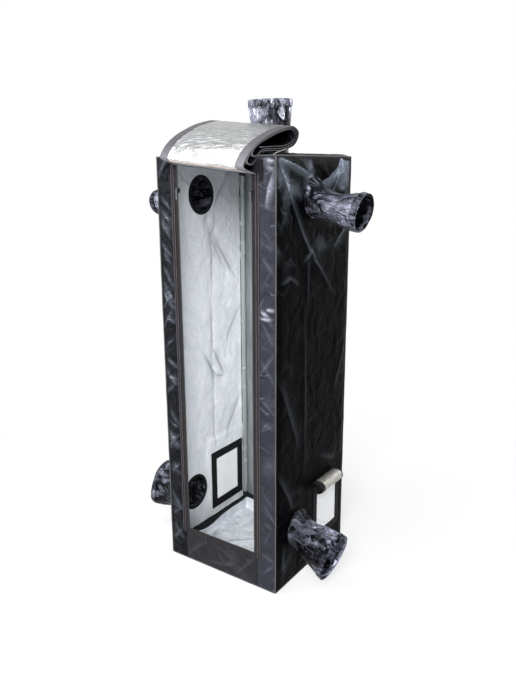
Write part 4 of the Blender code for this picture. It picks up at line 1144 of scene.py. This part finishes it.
def kept_near(sleeve, point):
    """Draw a point back if it strays too far in or out from the sleeve's rule."""
    line = sleeve.end - sleeve.start
    share = min(max((point - sleeve.start).dot(line) / line.length_squared, 0), 1)
    centre = (sleeve.tube(0, share) + sleeve.tube(pi, share)) / 2
    right = sleeve.tube(0, share) - centre
    upward = sleeve.tube(pi / 2, share) - centre
    around = point - centre
    stray = sqrt((around.dot(right) / right.length_squared) ** 2
                 + (around.dot(upward) / upward.length_squared) ** 2)
    radius = around.length / max(stray, 1e-6)
    kept = min(max(stray, 1 - STRAY_IN / radius), 1 + STRAY_OUT / radius)
    point = centre + around * (kept / max(stray, 1e-6))
    sunk = FLANGE_LIFT - (point - sleeve.start).dot(sleeve.outward)
    return point + sleeve.outward * max(sunk, 0)


def buckled(piece, sleeve, ends, slack, fast):
    """Push and wring a longer tube into its place, so that its spare cloth buckles, and keep that."""
    piece.shape_key_add(name="long")
    pushed = piece.shape_key_add(name="pushed")
    for index, point in enumerate(ends):
        pushed.data[index].co = point
    group = piece.vertex_groups.new(name="held")
    group.add(fast, 1.0, "REPLACE")
    cloth = piece.modifiers.new("buckle", "CLOTH")
    for name, value in SLEEVE_SETTINGS.items():
        setattr(cloth.settings, name, value)
    cloth.settings.effector_weights.gravity = slack
    cloth.collision_settings.use_collision = False
    cloth.collision_settings.use_self_collision = True
    cloth.collision_settings.self_distance_min = 0.0010
    cloth.point_cache.frame_start = 1
    cloth.point_cache.frame_end = PULL_FRAMES + REST_FRAMES
    for number in range(1, PULL_FRAMES + REST_FRAMES + 1):
        pushed.value = min((number - 1) / PULL_FRAMES, 1)
        bpy.context.scene.frame_set(number)
    graph = bpy.context.evaluated_depsgraph_get()
    settled = [vert.co.copy() for vert in piece.evaluated_get(graph).data.vertices]
    piece.modifiers.remove(cloth)
    piece.vertex_groups.remove(group)
    piece.shape_key_clear()
    held = set(fast)
    for vert, point, end in zip(piece.data.vertices, settled, ends):
        vert.co = end if vert.index in held else kept_near(sleeve, point)
    bpy.context.scene.frame_set(1)
    print(piece.name, "buckled", len(settled), "points")


def paint_lean_highlight(mesh, before, strength):
    """Store how far the buckled cloth leans up and forward, towards a fixed light direction, from its
    plain rule. Its finish paints that as a highlight, so one side of each fold is painted bright and
    the other stays dark."""
    painted_shading_marks = mesh.attributes.new("painted_fold_shading", "FLOAT", "POINT")
    for mark, normal, old in zip(painted_shading_marks.data, mesh.vertex_normals, before):
        lean = (normal.vector - old).dot(PAINTED_LIGHT_WAY)
        mark.value = smooth_step((lean - 0.06) / 0.40) * 0.9 * strength


def make_sleeve(name, port, outward, mouth, twist, painted_fold_shading):
    """One sleeve, its flange on the cover, and its hem."""
    sleeve = Sleeve(port, outward, mouth, twist)
    angles = [2 * pi * k / SLEEVE_AROUND for k in range(SLEEVE_AROUND + 1)]
    seed = sum(ord(letter) for letter in name)
    wring = SLEEVE_WRING * (1 if seed % 2 else -1)
    spare = (sleeve.end - sleeve.start).length * SLEEVE_SPARE

    def place(angle, ring):
        if ring == 0:
            return sleeve.ring(sleeve.start, sleeve.outward, FLANGE_RADIUS, FLANGE_RADIUS, 0, angle)
        share = (ring - 1) / (SLEEVE_RINGS - 1)
        point = sleeve.tube(angle, share)
        middle = sleeve.start.lerp(sleeve.end, share)
        loose = smooth_step(share / 0.08) * smooth_step((1 - share) / 0.06)
        uneven = noise.noise(point * 19 + Vector((seed, 0, 0))) * 0.0050
        uneven += noise.noise(point * 50 + Vector((0, seed, 0))) * 0.0016
        return point + (point - middle).normalized() * uneven * loose

    def long_place(angle, ring):
        share = max(ring - 1, 0) / (SLEEVE_RINGS - 1)
        return place(angle - wring * share, ring) + sleeve.way * spare * share

    shape = add_grid(bmesh.new(), angles, range(SLEEVE_RINGS + 1), place, closed=True)
    cloth = roof_sleeve_cloth if sleeve.outward.z else side_sleeve_cloth
    piece = finished(shape, f"sleeve_{name}", [cloth], None, [f"duct_{name}_sleeve"])
    before = [normal.vector.copy() for normal in piece.data.vertex_normals]
    ends = [vert.co.copy() for vert in piece.data.vertices]
    fast = [index for index, point in enumerate(ends)
            if (point - sleeve.end).dot(sleeve.way) > -0.001
            or (point - sleeve.start).dot(sleeve.outward) < 0.001]
    long_shape = add_grid(bmesh.new(), angles, range(SLEEVE_RINGS + 1), long_place, closed=True)
    for vert, long_vert in zip(piece.data.vertices, long_shape.verts):
        vert.co = long_vert.co
    long_shape.free()
    buckled(piece, sleeve, ends, 0.0 if sleeve.outward.z else 0.5, fast)
    paint_lean_highlight(piece.data, before, painted_fold_shading)
    subdivision = piece.modifiers.new("soft", "SUBSURF")
    subdivision.levels = 1
    subdivision.render_levels = 1
    solidify = piece.modifiers.new("thickness", "SOLIDIFY")
    solidify.thickness = SLEEVE_CLOTH
    solidify.offset = -1

    def hem_place(angle, row):
        share, grow = HEM_RIM[row]
        gather = sin(31 * angle + seed) * 0.5 + sin(47 * angle + 2 * seed) * 0.5
        wave = drift(cos(angle) * 2, sin(angle) * 2, seed) * 0.0022
        grow += gather * 0.0006 * smooth_step(share * 1.4) + wave * share
        uneven = drift(cos(angle) * 3, sin(angle) * 3, seed + 5) * 0.0012
        return sleeve.hem(angle, share, grow) + sleeve.way * uneven * share

    around = [2 * pi * k / HEM_AROUND for k in range(HEM_AROUND + 1)]
    hem_shape = add_grid(bmesh.new(), around, range(len(HEM_RIM)), hem_place, closed=True)
    # Painted highlight specks on the hem, from noise.
    painted_shading_marks = hem_shape.verts.layers.float.new("painted_fold_shading")
    for vert in hem_shape.verts:
        vert[painted_shading_marks] = smooth_step(noise.noise(vert.co * 150) * 2.4) * 0.35
    hem = finished(hem_shape, f"hem_{name}", [cloth], None, [f"duct_{name}_hem"])
    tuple(sleeve.port)
    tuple(sleeve.hem_start)
    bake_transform(piece)
    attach(hem, f"{name}_hem")
    length = (sleeve.mouth - sleeve.port).length
    wide = 2 * pi * sqrt((sleeve.wide ** 2 + sleeve.tall ** 2) / 2)
    return sleeve


made_sleeves = {name: make_sleeve(name, *facts) for name, facts in SLEEVES.items()}

# %% [markdown]
# Where a sleeve meets the cover it is sewn down by a ring of stitches, and inside the tent the
# edge of each port is bound with a black band. Both are spun round the port's axis.

# %% Port rings and their stitches
PORT_BAND = ((-0.0012, -0.0016), (0.0085, -0.0014), (0.0095, -0.0004), (0.0090, 0.0), (-0.0012, 0.0))


def add_spun(shape, profile, middle, axis):
    """Spin a closed profile of (radius, height) points round an axis through the middle."""
    turn = Vector(axis).to_track_quat("Z", "Y").to_matrix().to_4x4()
    spot = Matrix.Translation(Vector(middle)) @ turn
    verts = [shape.verts.new(spot @ Vector((radius, 0, height))) for radius, height in profile]
    edges = [shape.edges.new((verts[k], verts[(k + 1) % len(verts)])) for k in range(len(verts))]
    bmesh.ops.spin(shape, geom=verts + edges, cent=Vector(middle), axis=Vector(axis), angle=2 * pi,
                   steps=64, use_merge=True)


rings_shape = bmesh.new()
stitches_shape = bmesh.new()
for sleeve in made_sleeves.values():
    inner = sleeve.port - sleeve.outward * (CLOTH + 0.0002)
    profile = [(PORT_RADIUS + out, rise) for out, rise in PORT_BAND]
    add_spun(rings_shape, profile, inner, sleeve.outward)
    across = sleeve.side * (FLANGE_RADIUS - 0.0018)
    upward = across.cross(sleeve.outward)
    face = sleeve.start + sleeve.outward * 0.0012
    turns = [2 * pi * k / 90 for k in range(91)]
    circle = [face + across * cos(turn) + upward * sin(turn) for turn in turns]
    add_stitches(stitches_shape, circle, sleeve.outward)
face_outwards(rings_shape)
finished(rings_shape, "port_bindings", [black_binding], "tent")

# %% [markdown]
# Each vent has a fine white net. It is a single sheet whose threads are drawn by its finish: what
# isn't thread is cut away by alpha, so light passes through.

# %% Vent nets
def net_finish():
    """White net: a thread every 1.3 mm, and clear between them."""
    net = Finish("white_net")
    place = net.place()
    y, z = net.parts(place)[1:]
    threads = y.math("MAXIMUM", y.wave(0.0013) > -0.1, z.wave(0.0013) > -0.1)
    fuzz = net.noise(place, 900.0, 2.0)
    net.set(Base_Color=net.colours(fuzz, (0.84, 0.85, 0.86), (0.94, 0.94, 0.94)), Alpha=threads,
            Roughness=0.55 + fuzz * 0.2)
    return net.material


white_net = net_finish()
for side, sign in SIDES:
    middle = Vector((sign * (HALF - CLOTH / 2), *VENT_MIDDLE))
    net_across = lines(-VENT_HALF[0] - 0.004, VENT_HALF[0] + 0.004, 0.008)
    net_up = lines(-VENT_HALF[1] - 0.004, VENT_HALF[1] + 0.004, 0.008)

    def net_place(a, b, sign=sign, middle=middle):
        slack = drift(a * 16, b * 16, 3) * 0.0009
        return middle + Vector((slack, sign * a, b))

    net_shape = add_grid(bmesh.new(), net_across, net_up, net_place)
    net_piece = finished(net_shape, f"vent_pane_{side}", [white_net], "tent", [f"vent_net_{side}"])

# %% [markdown]
# A border of black webbing with rounded outer corners is sewn round each vent, outside and inside,
# with two rows of stitches.

# %% Vent borders
SIGNS = ((1, 1), (-1, 1), (-1, -1), (1, -1))


def rounded_rectangle(share, half, radius):
    """A point on a rounded rectangle; share runs once round it, with even shares for each corner."""
    turn = (share % 1) * 8
    side = int(turn)
    part = turn - side
    number = side // 2
    centre, far = (Vector((x * (half[0] - radius), y * (half[1] - radius)))
                   for x, y in (SIGNS[number], SIGNS[(number + 1) % 4]))
    start = pi / 2 * number
    if side % 2 == 0:
        angle = start + pi / 2 * part
        return centre + Vector((cos(angle), sin(angle))) * radius
    out = Vector((cos(start + pi / 2), sin(start + pi / 2))) * radius
    return (centre + out).lerp(far + out, part)


BORDER_ROWS = ((0.0, -0.0004), (0.0, 0.0008), (0.12, 0.0014), (0.5, 0.0017), (0.88, 0.0014),
               (1.0, 0.0007), (1.0, -0.0004))
for side, sign in SIDES:
    border_shape = bmesh.new()
    for face_sign, base in ((1, HALF), (-1, HALF - CLOTH)):
        def border_place(share, row, sign=sign, face_sign=face_sign, base=base):
            out, lift = BORDER_ROWS[row]
            wide = VENT_BORDER + (0.006 if face_sign < 0 else 0)
            grown = [half + wide for half in VENT_HALF]
            inner = rounded_rectangle(share, VENT_HALF, 0.003)
            outer = rounded_rectangle(share, grown, VENT_CORNER if face_sign > 0 else 0.003)
            spot = inner.lerp(outer, out)
            x = sign * (base + face_sign * lift)
            return Vector((x, VENT_MIDDLE[0] + spot.x, VENT_MIDDLE[1] + spot.y))

        add_grid(border_shape, [k / 64 for k in range(65)], range(len(BORDER_ROWS)), border_place,
                 closed=True)
    face_outwards(border_shape)
    border = finished(border_shape, f"vent_edge_{side}", [black_binding], "tent",
                      [f"vent_border_{side}"])
    for reach in (0.004, VENT_BORDER - 0.004):
        half = [side_half + reach for side_half in VENT_HALF]
        spots = [rounded_rectangle(k / 96, half, max(0.004, reach * 0.6)) for k in range(97)]
        route = [(sign * (HALF + 0.0016), VENT_MIDDLE[0] + spot.x, VENT_MIDDLE[1] + spot.y)
                 for spot in spots]
        add_stitches(stitches_shape, route, (sign, 0, 0))

# %% [markdown]
# The rolled flaps and the rolled door are spirals of cloth. Both are made from their end view: a
# row of points from the seam to the core, repeated from one end to the other, with crumpled facets
# pushed in along the way. Bindings wrap their ends, a little thicker than the cloth: black on the
# flaps and grey on the door.

# %% Vent flaps
FLAP_RADIUS = 0.0172
FLAP_CORE = 0.0060
FLAP_TURNS = 2.2
FLAP_MIDDLE_Y = 0.073
FLAP_LENGTH = 0.134
FLAP_SEAM_GAP = 0.0012
FLAP_CLOTH = 0.0012
FLAP_STEPS = 88
flap_axis = Vector((FLAP_SEAM_GAP + FLAP_CLOTH / 2 + FLAP_RADIUS,
                    VENT_MIDDLE[1] + VENT_HALF[1] + 0.016))


def flap_section():
    """A rolled flap from its end: (out, up) points, from its seam to its core."""
    points = [Vector((FLAP_SEAM_GAP, flap_axis.y + FLAP_RADIUS))]
    for step in range(FLAP_STEPS + 1):
        share = step / FLAP_STEPS
        angle = pi / 2 - 2 * pi * FLAP_TURNS * share
        radius = FLAP_RADIUS + (FLAP_CORE - FLAP_RADIUS) * share
        points.append(flap_axis + Vector((cos(angle), sin(angle))) * radius)
    return points


section = flap_section()
for side, sign in SIDES:
    def flap_place(step, across, sign=sign):
        point = section[step]
        outward = (point - flap_axis).normalized()
        dent = drift(point.x * 60, point.y * 60, across * 30) * 0.0011
        dent += crumple(across, step * 0.004, 0.016, 5) * 0.0009
        loose = smooth_step(step / 6)
        point = point - outward * dent * loose
        return Vector((sign * (HALF + point.x), FLAP_MIDDLE_Y + across, point.y))

    across = lines(-FLAP_LENGTH / 2 + 0.0006, FLAP_LENGTH / 2 - 0.0006, 0.004)
    flap_shape = add_grid(bmesh.new(), range(len(section)), across, flap_place)
    flap = finished(flap_shape, f"flap_{side}", [flap_film], f"{side}_vent_flap",
                    [f"vent_flap_{side}"], thickness=FLAP_CLOTH, offset=0)
    edges_shape = bmesh.new()
    far = FLAP_LENGTH / 2
    for low, high in ((-far, -far + 0.020), (far - 0.005, far)):
        add_grid(edges_shape, range(len(section)), lines(low, high, 0.004), flap_place)
    flap_edges = finished(edges_shape, f"flap_binding_{side}", [black_binding], f"{side}_vent_flap",
                          thickness=FLAP_CLOTH + 0.0006, offset=0)

# %% [markdown]
# The door hangs from its seam on the header, and its first few centimetres lead up to the roll. The
# roll is flat and bent over the front edge, so its end view is drawn by two closed curves, one for
# its outermost turn and one for its core, and the cloth winds from the first to the second. A tape
# of rose webbing marks the fold where the lead meets the roll.

# %% Door roll
ROLL_DEPTH = 0.288
ROLL_RISE = 0.114
ROLL_FRONT = -0.282
ROLL_BASE = 1.204
ROLL_TURNS = 2.9
ROLL_STEPS = 64
ROLL_STRIDE = 0.0075
LEAD_ROWS = 10
ROLL_CORE = Vector((0.560, 0.660))
ROLL_OUTSIDE = (
    (0.155, -0.010), (0.095, 0.063), (0.114, 0.170), (0.180, 0.350), (0.301, 0.548), (0.425, 0.689),
    (0.609, 0.853), (0.801, 0.961), (0.901, 0.985), (0.990, 0.880), (0.985, 0.733), (0.934, 0.585),
    (0.863, 0.503), (0.705, 0.418), (0.516, 0.399), (0.353, 0.368), (0.300, 0.257), (0.221, 0.062),
)
ROLL_INSIDE = (
    (0.330, 0.470), (0.305, 0.480), (0.301, 0.495), (0.315, 0.530), (0.360, 0.575), (0.440, 0.640),
    (0.609, 0.779), (0.770, 0.875), (0.860, 0.895), (0.910, 0.830), (0.900, 0.730), (0.852, 0.632),
    (0.753, 0.560), (0.640, 0.530), (0.516, 0.515), (0.430, 0.500), (0.380, 0.490), (0.350, 0.480),
)
DOOR_LEFT = -0.134
DOOR_RIGHT = 0.140
DOOR_CLOTH = 0.0015
BINDING_WIDTH = 0.026


def outline_at(shares, place):
    """A point on the smooth closed curve through a list of shares; place counts turns."""
    count = len(shares)
    spot = (place % 1) * count
    first = int(spot)
    part = spot - first
    before, start, end, after = (Vector(shares[(first + k - 1) % count]) for k in range(4))
    return 0.5 * (2 * start + (end - before) * part
                  + (2 * before - 5 * start + 4 * end - after) * part ** 2
                  + (3 * start - before - 3 * end + after) * part ** 3)


def door_section():
    """The rolled door from its end: (y, z) points from its seam to its core."""
    points = [Vector((-HALF - 0.0009, DOORWAY_TOP + DOOR_CLOTH))]
    for step in range(ceil(ROLL_TURNS * ROLL_STEPS) + 1):
        turns = step / ROLL_STEPS
        wound = (turns / ROLL_TURNS) ** 1.3
        share = outline_at(ROLL_OUTSIDE, turns).lerp(outline_at(ROLL_INSIDE, turns), wound)
        points.append(Vector((ROLL_FRONT + share.x * ROLL_DEPTH, ROLL_BASE + share.y * ROLL_RISE)))
    first = points[0]
    return [first.lerp(points[1], k / LEAD_ROWS) for k in range(LEAD_ROWS)] + points[1:]


door_points = door_section()
door_middle = Vector((ROLL_FRONT + ROLL_CORE.x * ROLL_DEPTH, ROLL_BASE + ROLL_CORE.y * ROLL_RISE))
door_seam = door_points[0]


def door_place(step, x, inwards=0.0):
    """A point of the rolled door at a step along its end view and a place along X."""
    point = door_points[step]
    share = (x - DOOR_LEFT) / (DOOR_RIGHT - DOOR_LEFT)
    away = (door_seam - point).length
    lift = LEFT_LIFT * (1 - share)
    inside = smooth_step(min(x - DOOR_LEFT, DOOR_RIGHT - x) / 0.06)
    loose = smooth_step(away / 0.05) * (0.12 + 0.88 * inside)
    outward = (point - door_middle).normalized()
    length = step * ROLL_STRIDE
    tight = 1 if step < ROLL_STEPS * 0.85 else 0.2
    dent = crumple(x * 0.55, length, 0.040, 61) * 0.0044
    dent += crumple(x * 0.6, length, 0.018, 66) * 0.0018
    dent += drift(x * 8, length * 11, 2) * 0.0026
    point = point - outward * ((dent - 0.0022) * loose * tight + inwards)
    return Vector((x, point.x, point.y + lift))


DOOR_STEP = 0.0048
door_across = lines(DOOR_LEFT + 0.0008, DOOR_RIGHT - 0.0008, DOOR_STEP)
DOOR_SIDES = ((DOOR_LEFT, DOOR_LEFT + BINDING_WIDTH), (DOOR_RIGHT - BINDING_WIDTH, DOOR_RIGHT))


def door_part(name, rows, nodes=()):
    """Part of the door between two rows of its end view, and its bindings at both sides."""
    shape = add_grid(bmesh.new(), rows, door_across, door_place)
    binding = bmesh.new()
    for low, high in DOOR_SIDES:
        add_grid(binding, rows, lines(low, high, DOOR_STEP), door_place)
    sheet = finished(flipped(shape), name, [door_film, wall_cloth], None, nodes,
                     thickness=DOOR_CLOTH, offset=0)
    edges = finished(flipped(binding), f"{name}_binding", [door_grey, left_cloth], None,
                     thickness=DOOR_CLOTH + 0.0008, offset=0)
    return sheet, edges


door, door_binding = door_part("rolled_door", range(LEAD_ROWS, len(door_points)), ["door_roll"])
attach(door, "door")
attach(door_binding, "door")
lead, lead_binding = door_part("door_lead", range(LEAD_ROWS + 1))
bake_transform(lead)
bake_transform(lead_binding)
fold_across = lines(DOOR_LEFT + BINDING_WIDTH, DOOR_RIGHT - BINDING_WIDTH, 0.006)
fold_tape_shape = add_grid(bmesh.new(), range(LEAD_ROWS - 1, LEAD_ROWS + 3), fold_across,
                           lambda step, x: door_place(step, x, -0.0016))
fold_tape = finished(flipped(fold_tape_shape), "door_fold_tape", [rose_tape], "door",
                     thickness=0.0008)

# %% [markdown]
# A pale strap lies on the roof behind the roll, ready to tie it up. It is a flat band of undyed
# webbing that lies on the roof in a slack wave. The end of another one runs from the front right
# corner to the roll.

# %% Door strap
strap_low, strap_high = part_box("door_tie")
strap_across = lines(strap_low.x, strap_high.x, 0.0024)
strap_up = lines(strap_low.y, strap_high.y, 0.004)


def strap_place(x, y):
    rise = 0.0011 + 0.0018 * smooth_step((y - strap_low.y) / 0.02) * (1 + sin(y * 95)) / 2
    return Vector((x + 0.0015 * sin(y * 40), y, TOP + rise))


strap_shape = add_grid(bmesh.new(), strap_across, strap_up, strap_place)
strap = finished(strap_shape, "door_strap", [pale_strap], "tent", ["door_tie"],
                 thickness=0.0010)
END_ROUTE = [Vector(point) for point in ((0.1955, -0.1985, 1.2430), (0.1880, -0.1680, 1.2470),
                                         (0.1720, -0.1270, 1.2520), (0.1430, -0.0680, 1.2545))]
END_ACROSS = Vector((0.797, 0.338, 0.5))


def end_place(along, across):
    first = min(int(along), len(END_ROUTE) - 2)
    middle = END_ROUTE[first].lerp(END_ROUTE[first + 1], along - first)
    return middle + END_ACROSS * across


end_shape = add_grid(bmesh.new(), [k / 8 for k in range(25)], [-0.0052, 0.0, 0.0052], end_place)
strap_end = finished(end_shape, "door_strap_end", [pale_strap], "tent",
                     thickness=0.0010)

# %% [markdown]
# The floor tray is a loose box of silver cloth that keeps water off the floor. Its low sides don't
# stand straight: they lean and ripple, the left one stands higher, and their black binding follows.
# It is one closed loft, from the middle of the floor out to the sides and up to the rim.

# %% Floor tray
TRAY_HALF = 0.1772
TRAY_BASE = CLOTH + GAP
TRAY_RISE = 0.050
TRAY_CORNER = 0.010
TRAY_OUTLINE = (TRAY_HALF - 0.0026, TRAY_HALF - 0.0026)
TRAY_FOLDS = (
    ((-0.160, -0.020), (-0.120, -0.110), 0.0090, 0.012),
    ((-0.125, -0.108), (0.060, 0.060), 0.0080, 0.014),
    ((0.055, 0.058), (0.150, 0.150), 0.0060, 0.014),
    ((-0.120, -0.110), (-0.010, -0.150), 0.0070, 0.012),
    ((0.010, -0.120), (0.140, -0.060), 0.0050, 0.014),
)
TRAY_FLOOR_ROWS = 26
TRAY_SIDE_ROWS = 9
TRAY_AROUND = 256


def tray_lean(spot, share):
    """How far the tray's side leans in at a place on its rim."""
    wave = drift(spot.x * 15, spot.y * 15, 8)
    left = smooth_step((-spot.x - 0.10) / 0.06)
    return (0.0035 + wave * 0.0045 + left * 0.004) * share


def tray_side(share, up, grow=0.0):
    """A point on the tray's side at a share round it and a share of its height."""
    spot = rounded_rectangle(share, TRAY_OUTLINE, TRAY_CORNER)
    far = max(abs(spot.x), abs(spot.y)) - 0.004
    normal = Vector([part if abs(part) > far else 0 for part in spot]).normalized()
    drop = (0.5 + 0.5 * drift(spot.x * 12, spot.y * 12, 4)) * 0.006
    drop -= 0.0130 * smooth_step((-spot.x - 0.10) / 0.06) * smooth_step((spot.y + 0.17) / 0.05)
    ripple = drift(spot.x * 40, spot.y * 40, up * 3) * 0.0012 * up
    inner = spot - normal * (tray_lean(spot, up) + ripple - grow)
    return Vector((inner.x, inner.y, TRAY_BASE + (TRAY_RISE - drop) * up))


def tray_place(share, row):
    if row <= TRAY_FLOOR_ROWS:
        reach = row / TRAY_FLOOR_ROWS
        spot = rounded_rectangle(share, TRAY_OUTLINE, TRAY_CORNER) * reach
        crease = crumple(spot.x, spot.y, 0.085, 71) * 0.0042
        crease += crumple(spot.x, spot.y, 0.03, 75) * 0.0014
        lift = (crease + fold_shape(spot, TRAY_FOLDS)[0]) * smooth_step((1 - reach) / 0.12)
        return Vector((spot.x, spot.y, TRAY_BASE + 0.0002 + lift))
    return tray_side(share, (row - TRAY_FLOOR_ROWS) / TRAY_SIDE_ROWS)


tray_shares = [k / TRAY_AROUND for k in range(TRAY_AROUND + 1)]
tray_rows = range(TRAY_FLOOR_ROWS + TRAY_SIDE_ROWS + 1)
tray_shape = add_grid(bmesh.new(), tray_shares, tray_rows, tray_place, closed=True)
# The tray's folds carry painted shade.
paint_fold_shading(tray_shape, TRAY_FOLDS, 0.9)
tray = finished(tray_shape, "spill_tray", [tray_film], "tray", ["floor_tray"],
                thickness=0.0008, offset=0)
RIM_ROWS = ((0.70, 0.0011), (0.85, 0.0017), (1.0, 0.0015), (1.03, 0.0), (1.0, -0.0015),
            (0.85, -0.0018), (0.70, -0.0012))


def rim_place(share, row):
    """The tray's binding; on the left side, near the front, it hangs down further."""
    up, grow = RIM_ROWS[row]
    spot = tray_side(share, 0)
    hang = smooth_step((-spot.x - 0.15) / 0.02) * exp(-((spot.y + 0.05) / 0.055) ** 2)
    return tray_side(share, up - 0.26 * hang * (up < 0.8), grow)


rim_shape = add_grid(bmesh.new(), tray_shares, range(len(RIM_ROWS)), rim_place, closed=True)
rim = finished(rim_shape, "tray_rim", [black_binding], "tray", ["floor_tray_binding"])

# %% [markdown]
# Inside, the upright seams are covered by a narrow black tape, which draws the dark line up the
# back corners. A small black patch covers the front at the door's right end. The last stitches
# follow the zip tape. They are small, but they are what a close look at sewn cloth finds first.

# %% Seam tapes and stitches
PATCH_ACROSS = (0.1300, 0.1620)
PATCH_UP = (1.177, 1.230)
# A black patch on the front, under the right end of the rolled door.
patch_shape = add_grid(bmesh.new(), lines(*PATCH_ACROSS, 0.004), lines(*PATCH_UP, 0.006),
                       lambda a, b: Vector((a, -HALF - 0.0022, b)))
patch = finished(patch_shape, "door_end_black_patch", [black_binding], "tent",
                 thickness=0.0012)
tape_shape = bmesh.new()
for x, y in ((-1, -1), (1, -1), (1, 1), (-1, 1)):
    foot = Vector((x * (HALF - 0.0042), y * (HALF - 0.0042), 0.06))
    head = Vector((foot.x, foot.y, TOP - 0.05))
    add_cord(tape_shape, wandering(foot, head, x + 2 * y), 0.0031, 6)
finished(tape_shape, "seam_tapes", [black_binding], "tent")

for inset in (TAPE_WIDTH - 0.002, TAPE_WIDTH + 0.003):
    path = zip_route(inset)
    add_stitches(stitches_shape, [(point.x, -HALF - 0.0004, point.z) for point in path], (0, -1, 0))
stitches = finished(stitches_shape, "stitches", [thread], "tent")
flat_shaded(stitches)

# %% [markdown]
# The stage is a plain pale floor. It turns white for the camera and for reflections only, so nothing
# gets extra light from that. Round the tent it turns less white, so it keeps a soft shadow there.

# %% Floor
FLOOR_HALF = 14
FLOOR_DROP = 0.0005
floor_shape = bmesh.new()
bmesh.ops.create_grid(floor_shape, x_segments=8, y_segments=8, size=FLOOR_HALF)
floor_mesh = bpy.data.meshes.new("studio_floor")
floor_shape.to_mesh(floor_mesh)
floor_shape.free()
floor = bpy.data.objects.new("studio_floor", floor_mesh)
floor.location.z = -FLOOR_DROP
bpy.context.scene.collection.objects.link(floor)
paper = Finish("pale_floor")
paper.set(Base_Color=(0.86, 0.86, 0.86, 1), Roughness=0.9, Specular_IOR_Level=0.1)


def seen(finish):
    """1 for rays that show the background: from the camera, a reflection or glass."""
    outputs = finish.node("LightPath").socket.node.outputs
    camera_ray, glossy, clear = (Wire(finish, outputs[f"Is {kind} Ray"])
                                 for kind in ("Camera", "Glossy", "Transmission"))
    return (camera_ray + glossy + clear).clamped()


x, y = paper.parts(paper.place())[:2]
distance = (x * x + y * y).math("SQRT", x * x + y * y)
fade = distance.between(0.35, 1.5) * 0.40 + 0.60
white = paper.node("Emission", sockets={"Color": (1, 1, 1, 1), "Strength": 1.0})
lit = Wire(paper, paper.shader.outputs[0])
mixed = paper.node("MixShader", sockets={0: seen(paper) * fade, 1: lit, 2: white})
paper.tree.links.new(mixed.socket, paper.tree.nodes["Material Output"].inputs["Surface"])
floor_mesh.materials.append(paper.material)
print("floor laid")

# %% [markdown]
# The light is soft. One lamp stands at the front left and glances off the front strips. A stronger
# one, behind and above the camera, shines in through the doorway, so the lining is bright while the
# black right side stays dark. One behind the tent on the right and one above it draw its edges, its
# folds and the sleeves. The world is dim, and white only where it is seen.

# %% World and lamps
world = bpy.data.worlds.new("studio")
bpy.context.scene.world = world
world.use_nodes = True
sky = Finish("studio", world.node_tree)
dim = world.node_tree.nodes["Background"]
dim.inputs["Color"].default_value = (0.93, 0.96, 1.0, 1)
dim.inputs["Strength"].default_value = 0.35
bright = sky.node("Background", sockets={"Color": (1, 1, 1, 1), "Strength": 1.0})
both = sky.node("MixShader", sockets={0: seen(sky), 1: Wire(sky, dim.outputs[0]), 2: bright})
world.node_tree.links.new(both.socket, world.node_tree.nodes["World Output"].inputs["Surface"])

# For each lamp: its place, the point it shines at, its width and its power.
LAMPS = {
    "front_left_lamp": ((-2.1, -2.6, 1.1), (0.0, -0.1, 0.7), 1.4, 65.0),
    "doorway_lamp": ((1.5, -3.0, 2.5), (-0.1, 0.1, 0.40), 1.5, 165.0),
    "back_right_lamp": ((1.7, 2.6, 2.1), (0.2, 0.0, 1.1), 1.4, 45.0),
    "top_lamp": ((-0.4, -0.9, 3.2), (0.0, 0.0, 1.0), 1.6, 40.0),
}
for name, (place, aim, size, power) in LAMPS.items():
    lamp = bpy.data.lights.new(name, "AREA")
    lamp.shape = "SQUARE"
    lamp.size = size
    lamp.energy = power
    stand = bpy.data.objects.new(name, lamp)
    stand.location = place
    stand.rotation_euler = (Vector(place) - Vector(aim)).to_track_quat("Z", "Y").to_euler()
    bpy.context.scene.collection.objects.link(stand)
bpy.context.scene.view_settings.view_transform = "Standard"
print("lamps", list(LAMPS))
